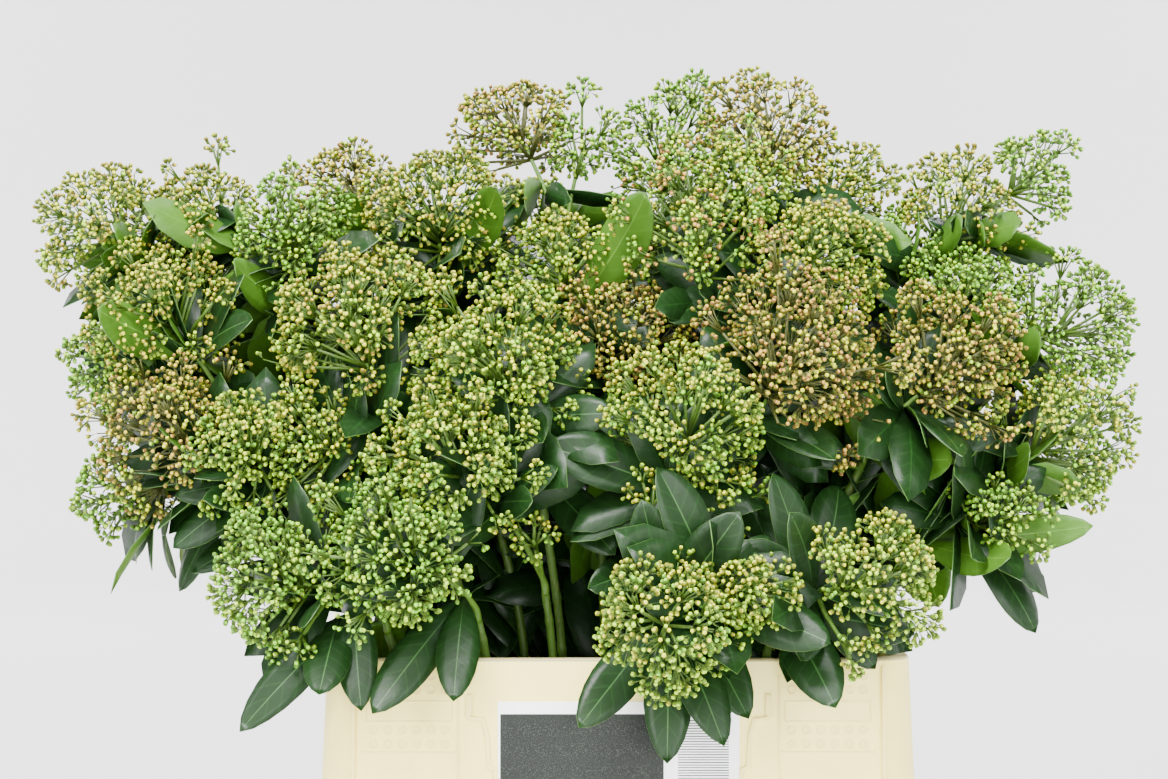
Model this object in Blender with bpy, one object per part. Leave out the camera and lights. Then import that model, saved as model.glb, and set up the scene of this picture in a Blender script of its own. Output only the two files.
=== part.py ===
"""A bunch of cut skimmia standing in a plastic flower bucket.

Metres, +Z up. The origin is the middle of the bucket's flat underside, and the
bucket's long side faces -Y. Each cut stem is one tapering limb from the bucket's
floor to the shoot it carries. Each shoot is one solid: a short stem that forks to
its flower heads, with the heads' sprays of buds and the leaves fused on.
"""
from math import cos, exp, log, pi, radians, sin, sqrt
import random

import bmesh
import bpy
from mathutils import Vector
from mathutils.bvhtree import BVHTree

MM = 0.001

# The bucket: outside sizes along X and Y
RIM_Z = 0.285
RIM_SIZE = (0.387, 0.288)
RIM_WIDTH = 0.008
SKIRT_Z = 0.175
SKIRT_SIZE = (0.396, 0.297)
BASE_SIZE = (0.345, 0.250)
WALL = 0.003
FLOOR = 0.004
EDGE = 0.002
CORNER_RADIUS = 0.034
CORNER_SEGMENTS = 3

# The label on the bucket's front
LABEL_SIZE = (0.158, 0.0006, 0.076)
LABEL_TOP_Z = 0.257

# The cut stems
GAP = 0.0003
STEM_SIDES = 6
STEM_RINGS = 6
FOOT_RADIUS = 0.0036
TIP_RADIUS = 0.0028
SHOOT_STEM = 0.012
FOOT_SPREAD = 0.84
FAN_Z = 0.290
FAN_SLOPE = 4.0
FAN_SOFTNESS = 0.014
FAN_HEART = Vector((0.0, 0.0, 0.250))
MOUTH = (0.172, 0.120)

# The shoots: how far the fork stands below the heads, and over the bucket's rim
FULLNESS = 1.12
NECK = 0.025
FORKED_NECK = 0.033
OVER_RIM = 0.024

# The twigs: how far each keeps to its stem's way before it turns to its head
TWIG_SIDES = 3
TWIG_RADIUS = 0.0024
TWIG_TAPER = (1.0, 0.9, 0.7)
BEND_SHARE = 0.35
BEND_ALONG = 0.12
HEAD_ENTRY = 0.4
LOW_LOBE = 0.005
FORK_SWELLING = 1.15
FORK_TOP = 0.003
ROOT_SINK = 0.001

# The heads' dense hearts, and the sprays of buds that stand out of them
CORE_SHARE = 0.78
LEAST_CORE = 0.0265
SPRAY_ROOT = 0.0016
SPRAY_SPACING = 0.0115
SPRAY_SPREAD = 0.40
SPRAY_LOWEST = radians(118)
SPRAYS_AT_LEAST = 2
FIRST_SPRAY = 0.35
SPRAY_TURN = 0.25
SHORTEST_SPRAY = 0.90
LEAST_STANDING = 0.005
KNOT_START = 0.86
CORE_ROOT = 0.55
RIVAL_RANGE = 0.16
LEAST_FACING = 0.05
GOLDEN_ANGLE = pi * (3 - sqrt(5))

# The leaves: shares of the length, with the half width there as a share of the width
LEAF_OUTLINE = ((0.0, 0.0), (0.32, 0.42), (0.68, 0.46), (1.0, 0.0), (0.68, -0.46), (0.32, -0.42))
LEAF_THICKNESS = 0.0017
LEAF_ARCH = 0.06
LEAF_HEART = 0.8
LEAF_LENGTHS = (0.062, 0.092)
LEAF_SLIMNESS = (0.30, 0.36)
LEAVES_PER_HEAD = 2
WHORL_LEANS = (62, 100)
WHORL_TURN = 0.4
WHORL_DROP = 0.006
FRONT_WAY = Vector((0.0, -1.0, 0.35))

# Keeping clear of each other, and what counts as a sound joined solid
CLEARANCE = 0.0012
MOST_SCRAPS = 0.08
SOUND_SHARE = 0.85
LEFT_OUT = (0, 2, 5)
SMOOTH_ANGLE = radians(40)
SEED = 11

# Each shoot lists its flower heads: the middle in X, Y and Z, the half width and
# the half height, all in millimetres. The first shoots face the front.
SHOOTS = (
    ((-380, 40, 580, 34, 44), (-342, 92, 578, 32, 38)),
    ((-298, 62, 588, 32, 36), (-232, 8, 571, 31, 38)),
    ((-197, 90, 609, 33, 36), (-126, 20, 582, 50, 52)),
    ((-74, 92, 657, 36, 36), (-22, 66, 644, 24, 54)),
    ((38, 110, 642, 39, 40), (46, 175, 565, 40, 38)),
    ((117, 62, 650, 38, 48), (166, 66, 605, 30, 38), (88, 14, 606, 32, 32)),
    ((254, 62, 592, 38, 46), (306, 60, 618, 26, 34), (204, 70, 556, 30, 32)),
    ((248, 22, 527, 42, 28), (328, 24, 504, 37, 41)),
    ((311, -22, 426, 44, 41), (264, -56, 369, 36, 22)),
    ((228, -62, 474, 45, 45),),
    ((114, -112, 477, 52, 54),),
    ((138, -34, 551, 42, 34), (56, -34, 570, 47, 45)),
    ((2, -36, 495, 38, 46), (-40, -10, 551, 36, 26)),
    ((-79, -104, 474, 50, 52),),
    ((-111, -144, 414, 44, 38), (-56, -124, 361, 17, 15)),
    ((-183, -72, 505, 48, 50), (-206, -92, 420, 26, 44)),
    ((-318, -12, 517, 44, 42), (-362, 14, 480, 26, 22)),
    ((-310, -42, 426, 45, 54), (-352, -8, 390, 27, 33), (-252, -94, 424, 33, 31)),
    ((-231, -134, 335, 37, 39), (-214, -146, 290, 16, 16)),
    ((-142, -164, 350, 46, 46),),
    ((47, -134, 436, 42, 40), (20, -138, 386, 20, 20), (76, -138, 386, 22, 22)),
    ((28, -208, 309, 47, 44), (82, -190, 333, 27, 18)),
    ((160, -174, 335, 40, 40), (148, -182, 292, 16, 17)),
    ((-275, 142, 530, 42, 40), (-350, 100, 455, 38, 36), (-290, 190, 440, 42, 40)),
    ((-162, 165, 558, 42, 40), (-188, 228, 468, 44, 42), (-225, 218, 370, 38, 36)),
    ((-58, 176, 578, 42, 40), (-84, 244, 482, 44, 42), (-108, 246, 376, 40, 38)),
    ((22, 246, 476, 44, 42), (2, 250, 366, 40, 38)),
    ((140, 165, 560, 42, 40), (130, 238, 465, 44, 42), (112, 242, 360, 38, 36)),
    ((254, 135, 500, 42, 40), (230, 205, 420, 42, 40), (318, 96, 420, 38, 36), (218, 196, 340, 34, 32)),
)

# The leaves that show best from the front: the shoot's number, about where the leaf
# sets out, its tip, its width, in millimetres, and which side faces the front: 1 is
# the upper side and -1 the underside
FRONT_LEAVES = (
    (2, (-234, -10, 492), (-264, -42, 548), 28, -1),
    (3, (-47, 45, 548), (-87, 5, 604), 26, -1),
    (9, (219, -40, 350), (325, -70, 368), 24, -1),
    (9, (215, -30, 352), (262, -110, 349), 27, -1),
    (10, (158, -44, 388), (166, -92, 460), 25, -1),
    (10, (158, -44, 388), (226, -95, 414), 27, -1),
    (10, (164, -46, 396), (262, -70, 430), 25, -1),
    (11, (82, -80, 402), (102, -132, 352), 26, 1),
    (13, (-13, -14, 530), (28, -40, 600), 30, -1),
    (13, (-13, -16, 440), (38, -60, 400), 26, 1),
    (14, (-54, -72, 405), (-2, -128, 352), 26, 1),
    (14, (-54, -72, 400), (-72, -138, 376), 24, 1),
    (16, (-150, -64, 412), (-170, -132, 372), 26, 1),
    (17, (-300, -2, 486), (-366, -40, 512), 30, -1),
    (17, (-280, 0, 460), (-250, -62, 454), 24, 1),
    (18, (-226, -36, 372), (-202, -112, 326), 26, 1),
    (18, (-232, -38, 380), (-276, -116, 388), 22, 1),
    (18, (-226, -34, 368), (-290, -70, 336), 20, 1),
    (19, (-170, -106, 314), (-245, -168, 240), 24, 1),
    (19, (-186, -116, 318), (-192, -184, 266), 26, 1),
    (19, (-178, -110, 316), (-166, -172, 254), 24, 1),
    (20, (-104, -118, 322), (-158, -186, 254), 26, 1),
    (20, (-104, -118, 322), (-106, -186, 262), 24, 1),
    (21, (26, -82, 344), (58, -148, 334), 28, 1),
    (21, (26, -82, 340), (-20, -132, 330), 24, 1),
    (22, (34, -136, 311), (-26, -194, 246), 27, 1),
    (22, (34, -150, 310), (30, -200, 224), 27, 1),
    (22, (34, -150, 310), (66, -206, 236), 26, 1),
    (22, (44, -140, 314), (82, -196, 252), 26, 1),
    (22, (60, -156, 324), (134, -196, 300), 30, 1),
    (23, (108, -126, 312), (138, -188, 258), 30, 1),
    (23, (112, -130, 314), (190, -176, 304), 26, 1),
)


def clear_scene():
    for item in list(bpy.data.objects):
        bpy.data.objects.remove(item, do_unlink=True)


def material(name, colour, roughness):
    made = bpy.data.materials.new(name)
    made.use_nodes = True
    shader = made.node_tree.nodes["Principled BSDF"]
    shader.inputs["Base Color"].default_value = (*colour, 1.0)
    shader.inputs["Roughness"].default_value = roughness
    shader.inputs["Metallic"].default_value = 0.0
    return made


def add_object(name, mesh, finish, smooth=False):
    item = bpy.data.objects.new(name, mesh)
    bpy.context.scene.collection.objects.link(item)
    mesh.materials.clear()
    mesh.materials.append(finish)
    if smooth:
        mesh.shade_smooth()
        mesh.set_sharp_from_angle(angle=SMOOTH_ANGLE)
    return item


def mesh_from(bm, name):
    bmesh.ops.recalc_face_normals(bm, faces=bm.faces)
    mesh = bpy.data.meshes.new(name)
    bm.to_mesh(mesh)
    bm.free()
    return mesh


# The bucket

def rounded_ring(bm, size, z):
    """A ring of points round a rectangle with rounded corners."""
    half_x, half_y = size[0] / 2, size[1] / 2
    ring = []
    for corner in range(4):
        side_x = 1 if corner in (0, 3) else -1
        side_y = 1 if corner in (0, 1) else -1
        middle = Vector((side_x * (half_x - CORNER_RADIUS), side_y * (half_y - CORNER_RADIUS), z))
        for step in range(CORNER_SEGMENTS + 1):
            angle = pi / 2 * (corner + step / CORNER_SEGMENTS)
            spot = middle + CORNER_RADIUS * Vector((cos(angle), sin(angle), 0))
            ring.append(bm.verts.new(spot))
    return ring


def shrunk(size, by):
    return (size[0] - 2 * by, size[1] - 2 * by)


def size_at(z, low_z, low_size, high_z, high_size):
    share = (z - low_z) / (high_z - low_z)
    return tuple(low + share * (high - low) for low, high in zip(low_size, high_size))


def make_bucket(finish):
    """An open bucket with a tapering body, a rolled rim and a skirt that hangs from it."""
    body_top = shrunk(RIM_SIZE, RIM_WIDTH - WALL)
    under_rim_z = RIM_Z - 2 * WALL
    profile = (
        (shrunk(BASE_SIZE, WALL + EDGE), FLOOR),
        (shrunk(size_at(FLOOR + EDGE, 0, BASE_SIZE, RIM_Z, body_top), WALL), FLOOR + EDGE),
        (shrunk(body_top, WALL), RIM_Z - EDGE),
        (shrunk(body_top, WALL - EDGE), RIM_Z),
        (shrunk(RIM_SIZE, EDGE), RIM_Z),
        (RIM_SIZE, RIM_Z - EDGE),
        (SKIRT_SIZE, SKIRT_Z),
        (shrunk(SKIRT_SIZE, WALL), SKIRT_Z),
        (shrunk(RIM_SIZE, WALL), under_rim_z),
        (size_at(under_rim_z, 0, BASE_SIZE, RIM_Z, body_top), under_rim_z),
        (size_at(EDGE, 0, BASE_SIZE, RIM_Z, body_top), EDGE),
        (shrunk(BASE_SIZE, EDGE), 0.0),
    )
    bm = bmesh.new()
    rings = [rounded_ring(bm, size, z) for size, z in profile]
    count = len(rings[0])
    for low, high in zip(rings, rings[1:]):
        for i in range(count):
            j = (i + 1) % count
            bm.faces.new((low[i], low[j], high[j], high[i]))
    bm.faces.new(rings[0])
    bm.faces.new(rings[-1])
    add_object("bucket", mesh_from(bm, "bucket"), finish, smooth=True)


def skirt_face_y(z):
    """How far in front of the middle the skirt's flat front stands at a height."""
    return -size_at(z, SKIRT_Z, SKIRT_SIZE, RIM_Z - EDGE, RIM_SIZE)[1] / 2


def make_label(finish):
    """A thin card held flat against the skirt's leaning front."""
    bm = bmesh.new()
    width, thickness, height = LABEL_SIZE
    bottom_z = LABEL_TOP_Z - height
    corners = []
    for x in (-width / 2, width / 2):
        for z in (bottom_z, LABEL_TOP_Z):
            back_y = skirt_face_y(z) - GAP
            corners.append([bm.verts.new((x, y, z)) for y in (back_y, back_y - thickness)])
    (a, b), (c, d), (e, f), (g, h) = corners
    for face in ((a, c, d, b), (e, f, h, g), (a, b, f, e), (c, g, h, d), (a, e, g, c), (b, d, h, f)):
        bm.faces.new(face)
    add_object("label", mesh_from(bm, "label"), finish)


# The fan of stems

def fan(z):
    """How far the stems have spread at a height: gently inside the bucket, fast above its rim."""
    inside = FOOT_SPREAD + (1 - FOOT_SPREAD) * min(z / FAN_Z, 1.0)
    return inside + FAN_SLOPE * FAN_SOFTNESS * log(1 + exp((z - FAN_Z) / FAN_SOFTNESS))


def stem_spot(lane, z):
    return Vector((lane[0] * fan(z), lane[1] * fan(z), z))


def shoot_plan(heads):
    """Where a shoot forks, the lane of the stem below it, and its heads in metres."""
    grown = FULLNESS * MM
    plans = [(Vector(head[:3]) * MM, head[3] * grown, head[4] * grown) for head in heads]
    middle = sum((spot for spot, _, _ in plans), Vector()) / len(plans)
    largest = max(max(wide, tall) for _, wide, tall in plans)
    way = (middle - FAN_HEART).normalized()
    reach = largest + (NECK if len(plans) == 1 else FORKED_NECK)
    fork = middle - way * reach
    fork.z = max(fork.z, RIM_Z + OVER_RIM)
    spread = fan(fork.z)
    lane = [max(-MOUTH[i], min(MOUTH[i], fork[i] / spread)) for i in (0, 1)]
    return stem_spot(lane, fork.z), lane, plans


def tube(spots, radii, sides, end_way=None):
    """A closed tapering tube through a few spots, with flat ends. The last may face its own way."""
    verts, faces = [], []
    across = Vector((1, 0, 0))
    last = len(spots) - 1
    for i, (spot, radius) in enumerate(zip(spots, radii)):
        along = (spots[min(i + 1, last)] - spots[max(i - 1, 0)]).normalized()
        if end_way and i == last:
            along = end_way
        across = (across - along * across.dot(along)).normalized()
        third = along.cross(across)
        for k in range(sides):
            angle = 2 * pi * k / sides
            verts.append(spot + radius * (cos(angle) * across + sin(angle) * third))
    for i in range(last):
        for k in range(sides):
            n = (k + 1) % sides
            faces.append((i * sides + k, i * sides + n, (i + 1) * sides + n, (i + 1) * sides + k))
    faces.append(tuple(reversed(range(sides))))
    faces.append(tuple(last * sides + k for k in range(sides)))
    return verts, faces


def stem_piece(fork, lane):
    """The limb from the bucket's floor to just under the shoot's own short stem."""
    way = stem_way(fork, lane)
    end = stem_spot(lane, fork.z - SHOOT_STEM) - way * GAP
    foot_z = FLOOR + GAP
    spots, radii = [], []
    for i in range(STEM_RINGS):
        share = i / (STEM_RINGS - 1)
        spots.append(stem_spot(lane, foot_z + share * (end.z - foot_z)))
        radii.append(FOOT_RADIUS + share * (TIP_RADIUS - FOOT_RADIUS))
    spots[0] = Vector((spots[1].x, spots[1].y, foot_z))
    spots[-1] = end
    return tube(spots, radii, STEM_SIDES, way)


# The shoots' pieces

def twig_bend(fork, middle, along):
    """Where a twig, setting out along its stem, turns to its head."""
    way = middle - fork
    return fork + way * BEND_SHARE + along * (BEND_ALONG * way.length)


def frame_of(axis):
    """Two directions square to an axis and to each other."""
    start = Vector((0, 0, 1)) if abs(axis.z) < 0.9 else Vector((1, 0, 0))
    across = axis.cross(start).normalized()
    return across, axis.cross(across).normalized()


def reach_in(way, wide, tall):
    return 1 / sqrt((way.x ** 2 + way.y ** 2) / wide ** 2 + way.z ** 2 / tall ** 2)


def has_core(wide, tall):
    return min(wide, tall) > LEAST_CORE


def core_piece(middle, wide, tall, share):
    """The dense heart of a head: a low ball, smaller than the head all round."""
    bm = bmesh.new()
    bmesh.ops.create_icosphere(bm, subdivisions=1, radius=1.0)
    scale = Vector((wide * share, wide * share, tall * share))
    verts = [Vector(v.co[i] * scale[i] for i in range(3)) + middle for v in bm.verts]
    faces = [tuple(v.index for v in f.verts) for f in bm.faces]
    bm.free()
    return verts, faces


def spray_piece(root, way, length, width, turn):
    """A three-sided stalk that widens to a blunt knot of buds."""
    across, third = frame_of(way)
    verts = []
    for share, radius in ((0.0, SPRAY_ROOT), (KNOT_START, width)):
        for k in range(3):
            angle = turn + 2 * pi * k / 3
            verts.append(root + way * (share * length) + radius * (cos(angle) * across + sin(angle) * third))
    verts.append(root + way * length)
    faces = [(2, 1, 0), (0, 1, 4, 3), (1, 2, 5, 4), (2, 0, 3, 5), (3, 4, 6), (4, 5, 6), (5, 3, 6)]
    return verts, faces


def leaf_piece(base, tip, width, upper):
    """A pointed blade, widest past its middle and slightly arched, its edges thin."""
    along = tip - base
    length = along.length
    along.normalize()
    upper = (upper - along * upper.dot(along)).normalized()
    side = along.cross(upper)
    arch = LEAF_ARCH * length
    verts = []
    for share, half in LEAF_OUTLINE:
        lift = arch * (1 - (2 * share - 1) ** 2)
        verts.append(base + along * (share * length) + side * (half * width) + upper * lift)
    heart = base + along * (0.5 * length) + upper * (LEAF_HEART * arch)
    verts += [heart + upper * (LEAF_THICKNESS / 2), heart - upper * (LEAF_THICKNESS / 2)]
    faces = []
    count = len(LEAF_OUTLINE)
    for i in range(count):
        j = (i + 1) % count
        faces += [(i, j, count), (j, i, count + 1)]
    return verts, faces


def nearest_on(skeleton_lines, spot):
    """The nearest point to a spot on a shoot's stem and twigs."""
    best = None
    for start, end in skeleton_lines:
        way = end - start
        share = max(0.0, min(1.0, (spot - start).dot(way) / way.length_squared))
        there = start + way * share
        if best is None or (there - spot).length < (best - spot).length:
            best = there
    return best


def front_leaves_of(number, fork, along, heads):
    """The named leaves of one shoot, each from the nearest place on its own twigs."""
    lines = [(fork - along * (0.5 * SHOOT_STEM), fork)]
    for middle, _, _, _ in heads:
        bend = twig_bend(fork, middle, along)
        lines += [(fork, bend), (bend, bend.lerp(middle, HEAD_ENTRY))]
    found = []
    for shoot, start, tip, width, facing in FRONT_LEAVES:
        if shoot == number:
            root = nearest_on(lines, Vector(start) * MM)
            found.append(leaf_piece(root, Vector(tip) * MM, width * MM, FRONT_WAY * facing))
    return found


def sprays_of(head, rivals, rng):
    """Sprays dealt evenly over a head, each cut short where a neighbour's space begins."""
    middle, wide, tall, axis = head
    across, third = frame_of(axis)
    count = SPRAYS_AT_LEAST + round(max(wide, tall) / SPRAY_SPACING)
    found = []
    for i in range(count):
        lean = SPRAY_LOWEST * sqrt((i + FIRST_SPRAY) / count)
        angle = i * GOLDEN_ANGLE + rng.uniform(-SPRAY_TURN, SPRAY_TURN)
        way = cos(lean) * axis + sin(lean) * (cos(angle) * across + sin(angle) * third)
        full = reach_in(way, wide, tall) * rng.uniform(SHORTEST_SPRAY, 1.0)
        reach = full
        for rival in rivals:
            apart = rival - middle
            facing = way.dot(apart.normalized())
            if facing > LEAST_FACING:
                reach = min(reach, (apart.length / 2 - 2 * CLEARANCE) / facing)
        core = reach_in(way, wide, tall) * CORE_SHARE
        if reach < core + LEAST_STANDING:
            continue
        start = CORE_ROOT * core if has_core(wide, tall) else -ROOT_SINK
        width = SPRAY_SPREAD * sqrt(wide * tall) * min(1.0, reach / full)
        turn = rng.uniform(0, 2 * pi)
        found.append(spray_piece(middle + way * start, way, reach - start, width, turn))
    return found


def leaves_of(head, fork, along, rng):
    """A whorl of leaves under a head, spreading out and a little back."""
    middle, wide, tall, axis = head
    across, third = frame_of(axis)
    bend = twig_bend(fork, middle, along)
    clear = max(0.0, 1 - (reach_in(axis, wide, tall) + WHORL_DROP) / (middle - bend).length)
    whorl = bend + (middle - bend) * clear
    turn = rng.uniform(0, 2 * pi)
    found = []
    count = LEAVES_PER_HEAD if wide > LEAST_CORE else 0
    for i in range(count):
        angle = turn + 2 * pi * i / count + rng.uniform(-WHORL_TURN, WHORL_TURN)
        lean = radians(rng.uniform(*WHORL_LEANS))
        way = cos(lean) * axis + sin(lean) * (cos(angle) * across + sin(angle) * third)
        length = rng.uniform(*LEAF_LENGTHS)
        width = length * rng.uniform(*LEAF_SLIMNESS)
        found.append(leaf_piece(whorl, whorl + way * length, width, axis))
    return found


# Keeping to their own space

def tree_of(pieces):
    """A search tree over many pieces' faces."""
    verts, faces = [], []
    for piece_verts, piece_faces in pieces:
        start = len(verts)
        verts += piece_verts
        faces += [tuple(start + i for i in face) for face in piece_faces]
    return BVHTree.FromPolygons(verts, faces) if faces else None


def swollen(piece, by):
    """A piece grown a little from its own middle, to keep a clearance round it."""
    verts, faces = piece
    middle = sum(verts, Vector()) / len(verts)
    grown = [v + (v - middle).normalized() * by for v in verts]
    return grown, faces


def fits(piece, tree):
    if tree is None:
        return True
    grown = swollen(piece, CLEARANCE)
    if BVHTree.FromPolygons(*grown).overlap(tree):
        return False
    near = min(tree.find_nearest(v)[3] for v in piece[0])
    return near > CLEARANCE / 2


# Joining a shoot's pieces into one solid

def link_piece(piece, name, collection):
    bm = bmesh.new()
    verts = [bm.verts.new(v) for v in piece[0]]
    for face in piece[1]:
        bm.faces.new([verts[i] for i in face])
    bmesh.ops.triangulate(bm, faces=bm.faces)
    item = bpy.data.objects.new(name, mesh_from(bm, name))
    collection.objects.link(item)
    return item


def islands_of(bm):
    seen, found = set(), []
    for start in bm.faces:
        if start in seen:
            continue
        island, edge = [], [start]
        seen.add(start)
        while edge:
            face = edge.pop()
            island.append(face)
            for side in face.edges:
                for other in side.link_faces:
                    if other not in seen:
                        seen.add(other)
                        edge.append(other)
        found.append(island)
    return found


def tall_of(spots):
    return max(spot.z for spot in spots) - min(spot.z for spot in spots)


def tidied(mesh, tall):
    """The largest closed skin of a joined mesh, or None where it isn't sound."""
    bm = bmesh.new()
    bm.from_mesh(mesh)
    bmesh.ops.triangulate(bm, faces=bm.faces)
    islands = sorted(islands_of(bm), key=len, reverse=True)
    scraps = [face for island in islands[1:] for face in island]
    sound = bool(islands) and len(scraps) < MOST_SCRAPS * len(bm.faces)
    bmesh.ops.delete(bm, geom=scraps, context="FACES")
    sound = sound and all(len(e.link_faces) == 2 for e in bm.edges)
    sound = sound and tall_of([v.co for v in bm.verts]) > SOUND_SHARE * tall
    if not sound:
        bm.free()
        return None
    bm.to_mesh(mesh)
    bm.free()
    return mesh


def join_shoot(name, pieces, finish):
    """One Boolean union on a collection, with fewer leaves if the union fails."""
    scene = bpy.context.scene
    for left_out in LEFT_OUT:
        kept = len(pieces) - left_out
        for solver in ("EXACT", "MANIFOLD"):
            collection = bpy.data.collections.new(name + "_pieces")
            scene.collection.children.link(collection)
            first = link_piece(pieces[0], name, scene.collection)
            for i, piece in enumerate(pieces[1:kept]):
                link_piece(piece, f"{name}_piece_{i}", collection)
            union = first.modifiers.new("join", "BOOLEAN")
            union.operation = "UNION"
            union.operand_type = "COLLECTION"
            union.collection = collection
            union.solver = solver
            union.use_self = solver == "EXACT"
            graph = bpy.context.evaluated_depsgraph_get()
            mesh = bpy.data.meshes.new_from_object(first.evaluated_get(graph))
            for item in list(collection.objects) + [first]:
                bpy.data.objects.remove(item, do_unlink=True)
            bpy.data.collections.remove(collection)
            mesh = tidied(mesh, tall_of([v for piece in pieces[:kept] for v in piece[0]]))
            if mesh is not None:
                mesh.name = name
                return add_object(name, mesh, finish)
    raise ValueError(name + " could not be joined")


def stem_way(fork, lane):
    start = stem_spot(lane, fork.z - SHOOT_STEM)
    return (fork - start).normalized()


def core_share(middle, wide, rivals):
    """A heart's share of its head, less where another shoot's head crowds it."""
    nearest = min([(rival - middle).length * wide / (wide + other) for rival, other in rivals])
    return min(CORE_SHARE, (nearest - 2 * CLEARANCE) / wide)


def skeleton_of(fork, lane, heads, rivals):
    """A shoot's short stem, its twigs, and the hearts of its heads."""
    start = stem_spot(lane, fork.z - SHOOT_STEM)
    along = stem_way(fork, lane)
    top = fork + along * FORK_TOP
    pieces = [tube([start, fork, top], [TIP_RADIUS, TWIG_RADIUS * FORK_SWELLING, TWIG_RADIUS], STEM_SIDES)]
    twig_radii = [TWIG_RADIUS * share for share in TWIG_TAPER]
    for middle, wide, tall, axis in heads:
        bend = twig_bend(fork, middle, along)
        first = fork - along * ROOT_SINK
        if middle.z < fork.z - LOW_LOBE:
            first = twig_bend(fork, heads[0][0], along)
            bend = first.lerp(middle, HEAD_ENTRY)
        pieces.append(tube([first, bend, middle], twig_radii, TWIG_SIDES))
        if has_core(wide, tall):
            pieces.append(core_piece(middle, wide, tall, core_share(middle, wide, rivals)))
    return pieces


def make_stems(plans, finish):
    """Each limb as its own object, and their pieces for the shoots to keep clear of."""
    stems = [stem_piece(fork, lane) for fork, lane, _ in plans]
    for i, (verts, faces) in enumerate(stems):
        name = f"stem_{i + 1:02d}"
        mesh = bpy.data.meshes.new(name)
        mesh.from_pydata(verts, [], faces)
        add_object(name, mesh, finish, smooth=True)
    return stems


def piece_of(name):
    """An object's mesh as a piece."""
    mesh = bpy.data.objects[name].data
    return [v.co.copy() for v in mesh.vertices], [tuple(p.vertices) for p in mesh.polygons]


def grown_shoots(shoots, fixed):
    """Each shoot's pieces: sprays first, then the named leaves, then the whorls, where they fit."""
    grown = [list(skeleton) for _, _, _, skeleton in shoots]
    for kind in ("sprays", "front leaves", "whorls"):
        for i, (fork, along, heads, _) in enumerate(shoots):
            rng = random.Random(SEED * 100 + i)
            others = tree_of(fixed + [piece for j, own in enumerate(grown) if j != i for piece in own])
            if kind == "front leaves":
                wanted = front_leaves_of(i + 1, fork, along, heads)
                grown[i] += [piece for piece in wanted if fits(piece, others)]
                continue
            for head in heads:
                if kind == "sprays":
                    rivals = [h[0] for j, shoot in enumerate(shoots) if j != i for h in shoot[2]
                              if (h[0] - head[0]).length < RIVAL_RANGE]
                    wanted = sprays_of(head, rivals, rng)
                else:
                    wanted = leaves_of(head, fork, along, rng)
                grown[i] += [piece for piece in wanted if fits(piece, others)]
    return grown


def main():
    clear_scene()
    plastic = material("bucket_plastic", (0.86, 0.80, 0.62), 0.42)
    card = material("label_card", (0.88, 0.89, 0.88), 0.55)
    bark = material("green_bark", (0.11, 0.19, 0.03), 0.55)
    buds = material("skimmia_buds", (0.48, 0.55, 0.10), 0.5)

    make_bucket(plastic)
    make_label(card)
    plans = [shoot_plan(heads) for heads in SHOOTS]
    fixed = make_stems(plans, bark) + [piece_of("bucket"), piece_of("label")]

    shoots = []
    for i, (fork, lane, sizes) in enumerate(plans):
        heads = [(spot, wide, tall, (spot - fork).normalized()) for spot, wide, tall in sizes]
        rivals = [size[:2] for j, plan in enumerate(plans) if j != i for size in plan[2]]
        shoots.append((fork, stem_way(fork, lane), heads, skeleton_of(fork, lane, heads, rivals)))

    for i, pieces in enumerate(grown_shoots(shoots, fixed)):
        join_shoot(f"head_{i + 1:02d}", pieces, buds)


main()
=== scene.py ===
"""The looks of a bunch of cut skimmia standing in a cream flower bucket.

Metres, +Z up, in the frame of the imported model. Each shoot grows on from its stem by
the same rule as its solid: a twig bends to each flower head, the head's branches fork
to cymes and the cymes to buds, and leaves stand under the head, on its twig and on the
stem. A cyme is a small spray of buds at the end of a branch.
"""
from math import cos, exp, log, pi, radians, sin, sqrt

import bmesh
import bpy
import numpy as np
from mathutils import Matrix, Vector


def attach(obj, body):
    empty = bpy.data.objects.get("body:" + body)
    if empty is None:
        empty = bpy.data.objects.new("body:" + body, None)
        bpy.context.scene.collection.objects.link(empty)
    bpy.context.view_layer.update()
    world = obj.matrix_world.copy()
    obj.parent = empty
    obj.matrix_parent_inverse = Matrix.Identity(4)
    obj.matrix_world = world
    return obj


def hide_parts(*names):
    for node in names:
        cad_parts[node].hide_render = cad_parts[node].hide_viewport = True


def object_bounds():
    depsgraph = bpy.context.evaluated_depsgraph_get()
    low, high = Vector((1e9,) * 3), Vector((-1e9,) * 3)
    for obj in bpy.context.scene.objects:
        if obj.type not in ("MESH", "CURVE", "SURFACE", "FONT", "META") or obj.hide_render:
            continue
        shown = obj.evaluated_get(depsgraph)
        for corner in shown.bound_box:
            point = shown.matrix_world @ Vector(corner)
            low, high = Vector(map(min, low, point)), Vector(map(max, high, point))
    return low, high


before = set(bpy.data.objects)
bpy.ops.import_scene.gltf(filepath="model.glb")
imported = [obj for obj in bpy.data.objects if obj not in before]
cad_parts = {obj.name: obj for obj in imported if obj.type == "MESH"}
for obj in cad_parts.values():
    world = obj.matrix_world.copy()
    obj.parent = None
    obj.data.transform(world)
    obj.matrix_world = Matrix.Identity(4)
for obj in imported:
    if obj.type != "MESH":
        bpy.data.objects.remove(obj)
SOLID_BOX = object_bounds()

MM = 0.001
SEED = 23

# The bucket's sizes, as its solid has them
RIM_Z = 0.285
RIM_SIZE = (0.387, 0.288)
RIM_WIDTH = 0.008
SKIRT_Z = 0.175
SKIRT_SIZE = (0.396, 0.297)
BASE_SIZE = (0.345, 0.250)
WALL = 0.003
FLOOR = 0.004
CORNER_RADIUS = 0.034
CORNER_SEGMENTS = 9
EDGE = 0.002
OUTER_RINGS_Z = (0.06, 0.12, 0.17, 0.22)
INNER_RINGS_Z = (0.2, 0.1, 0.012)
TOUCHING = 0.0003

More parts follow.
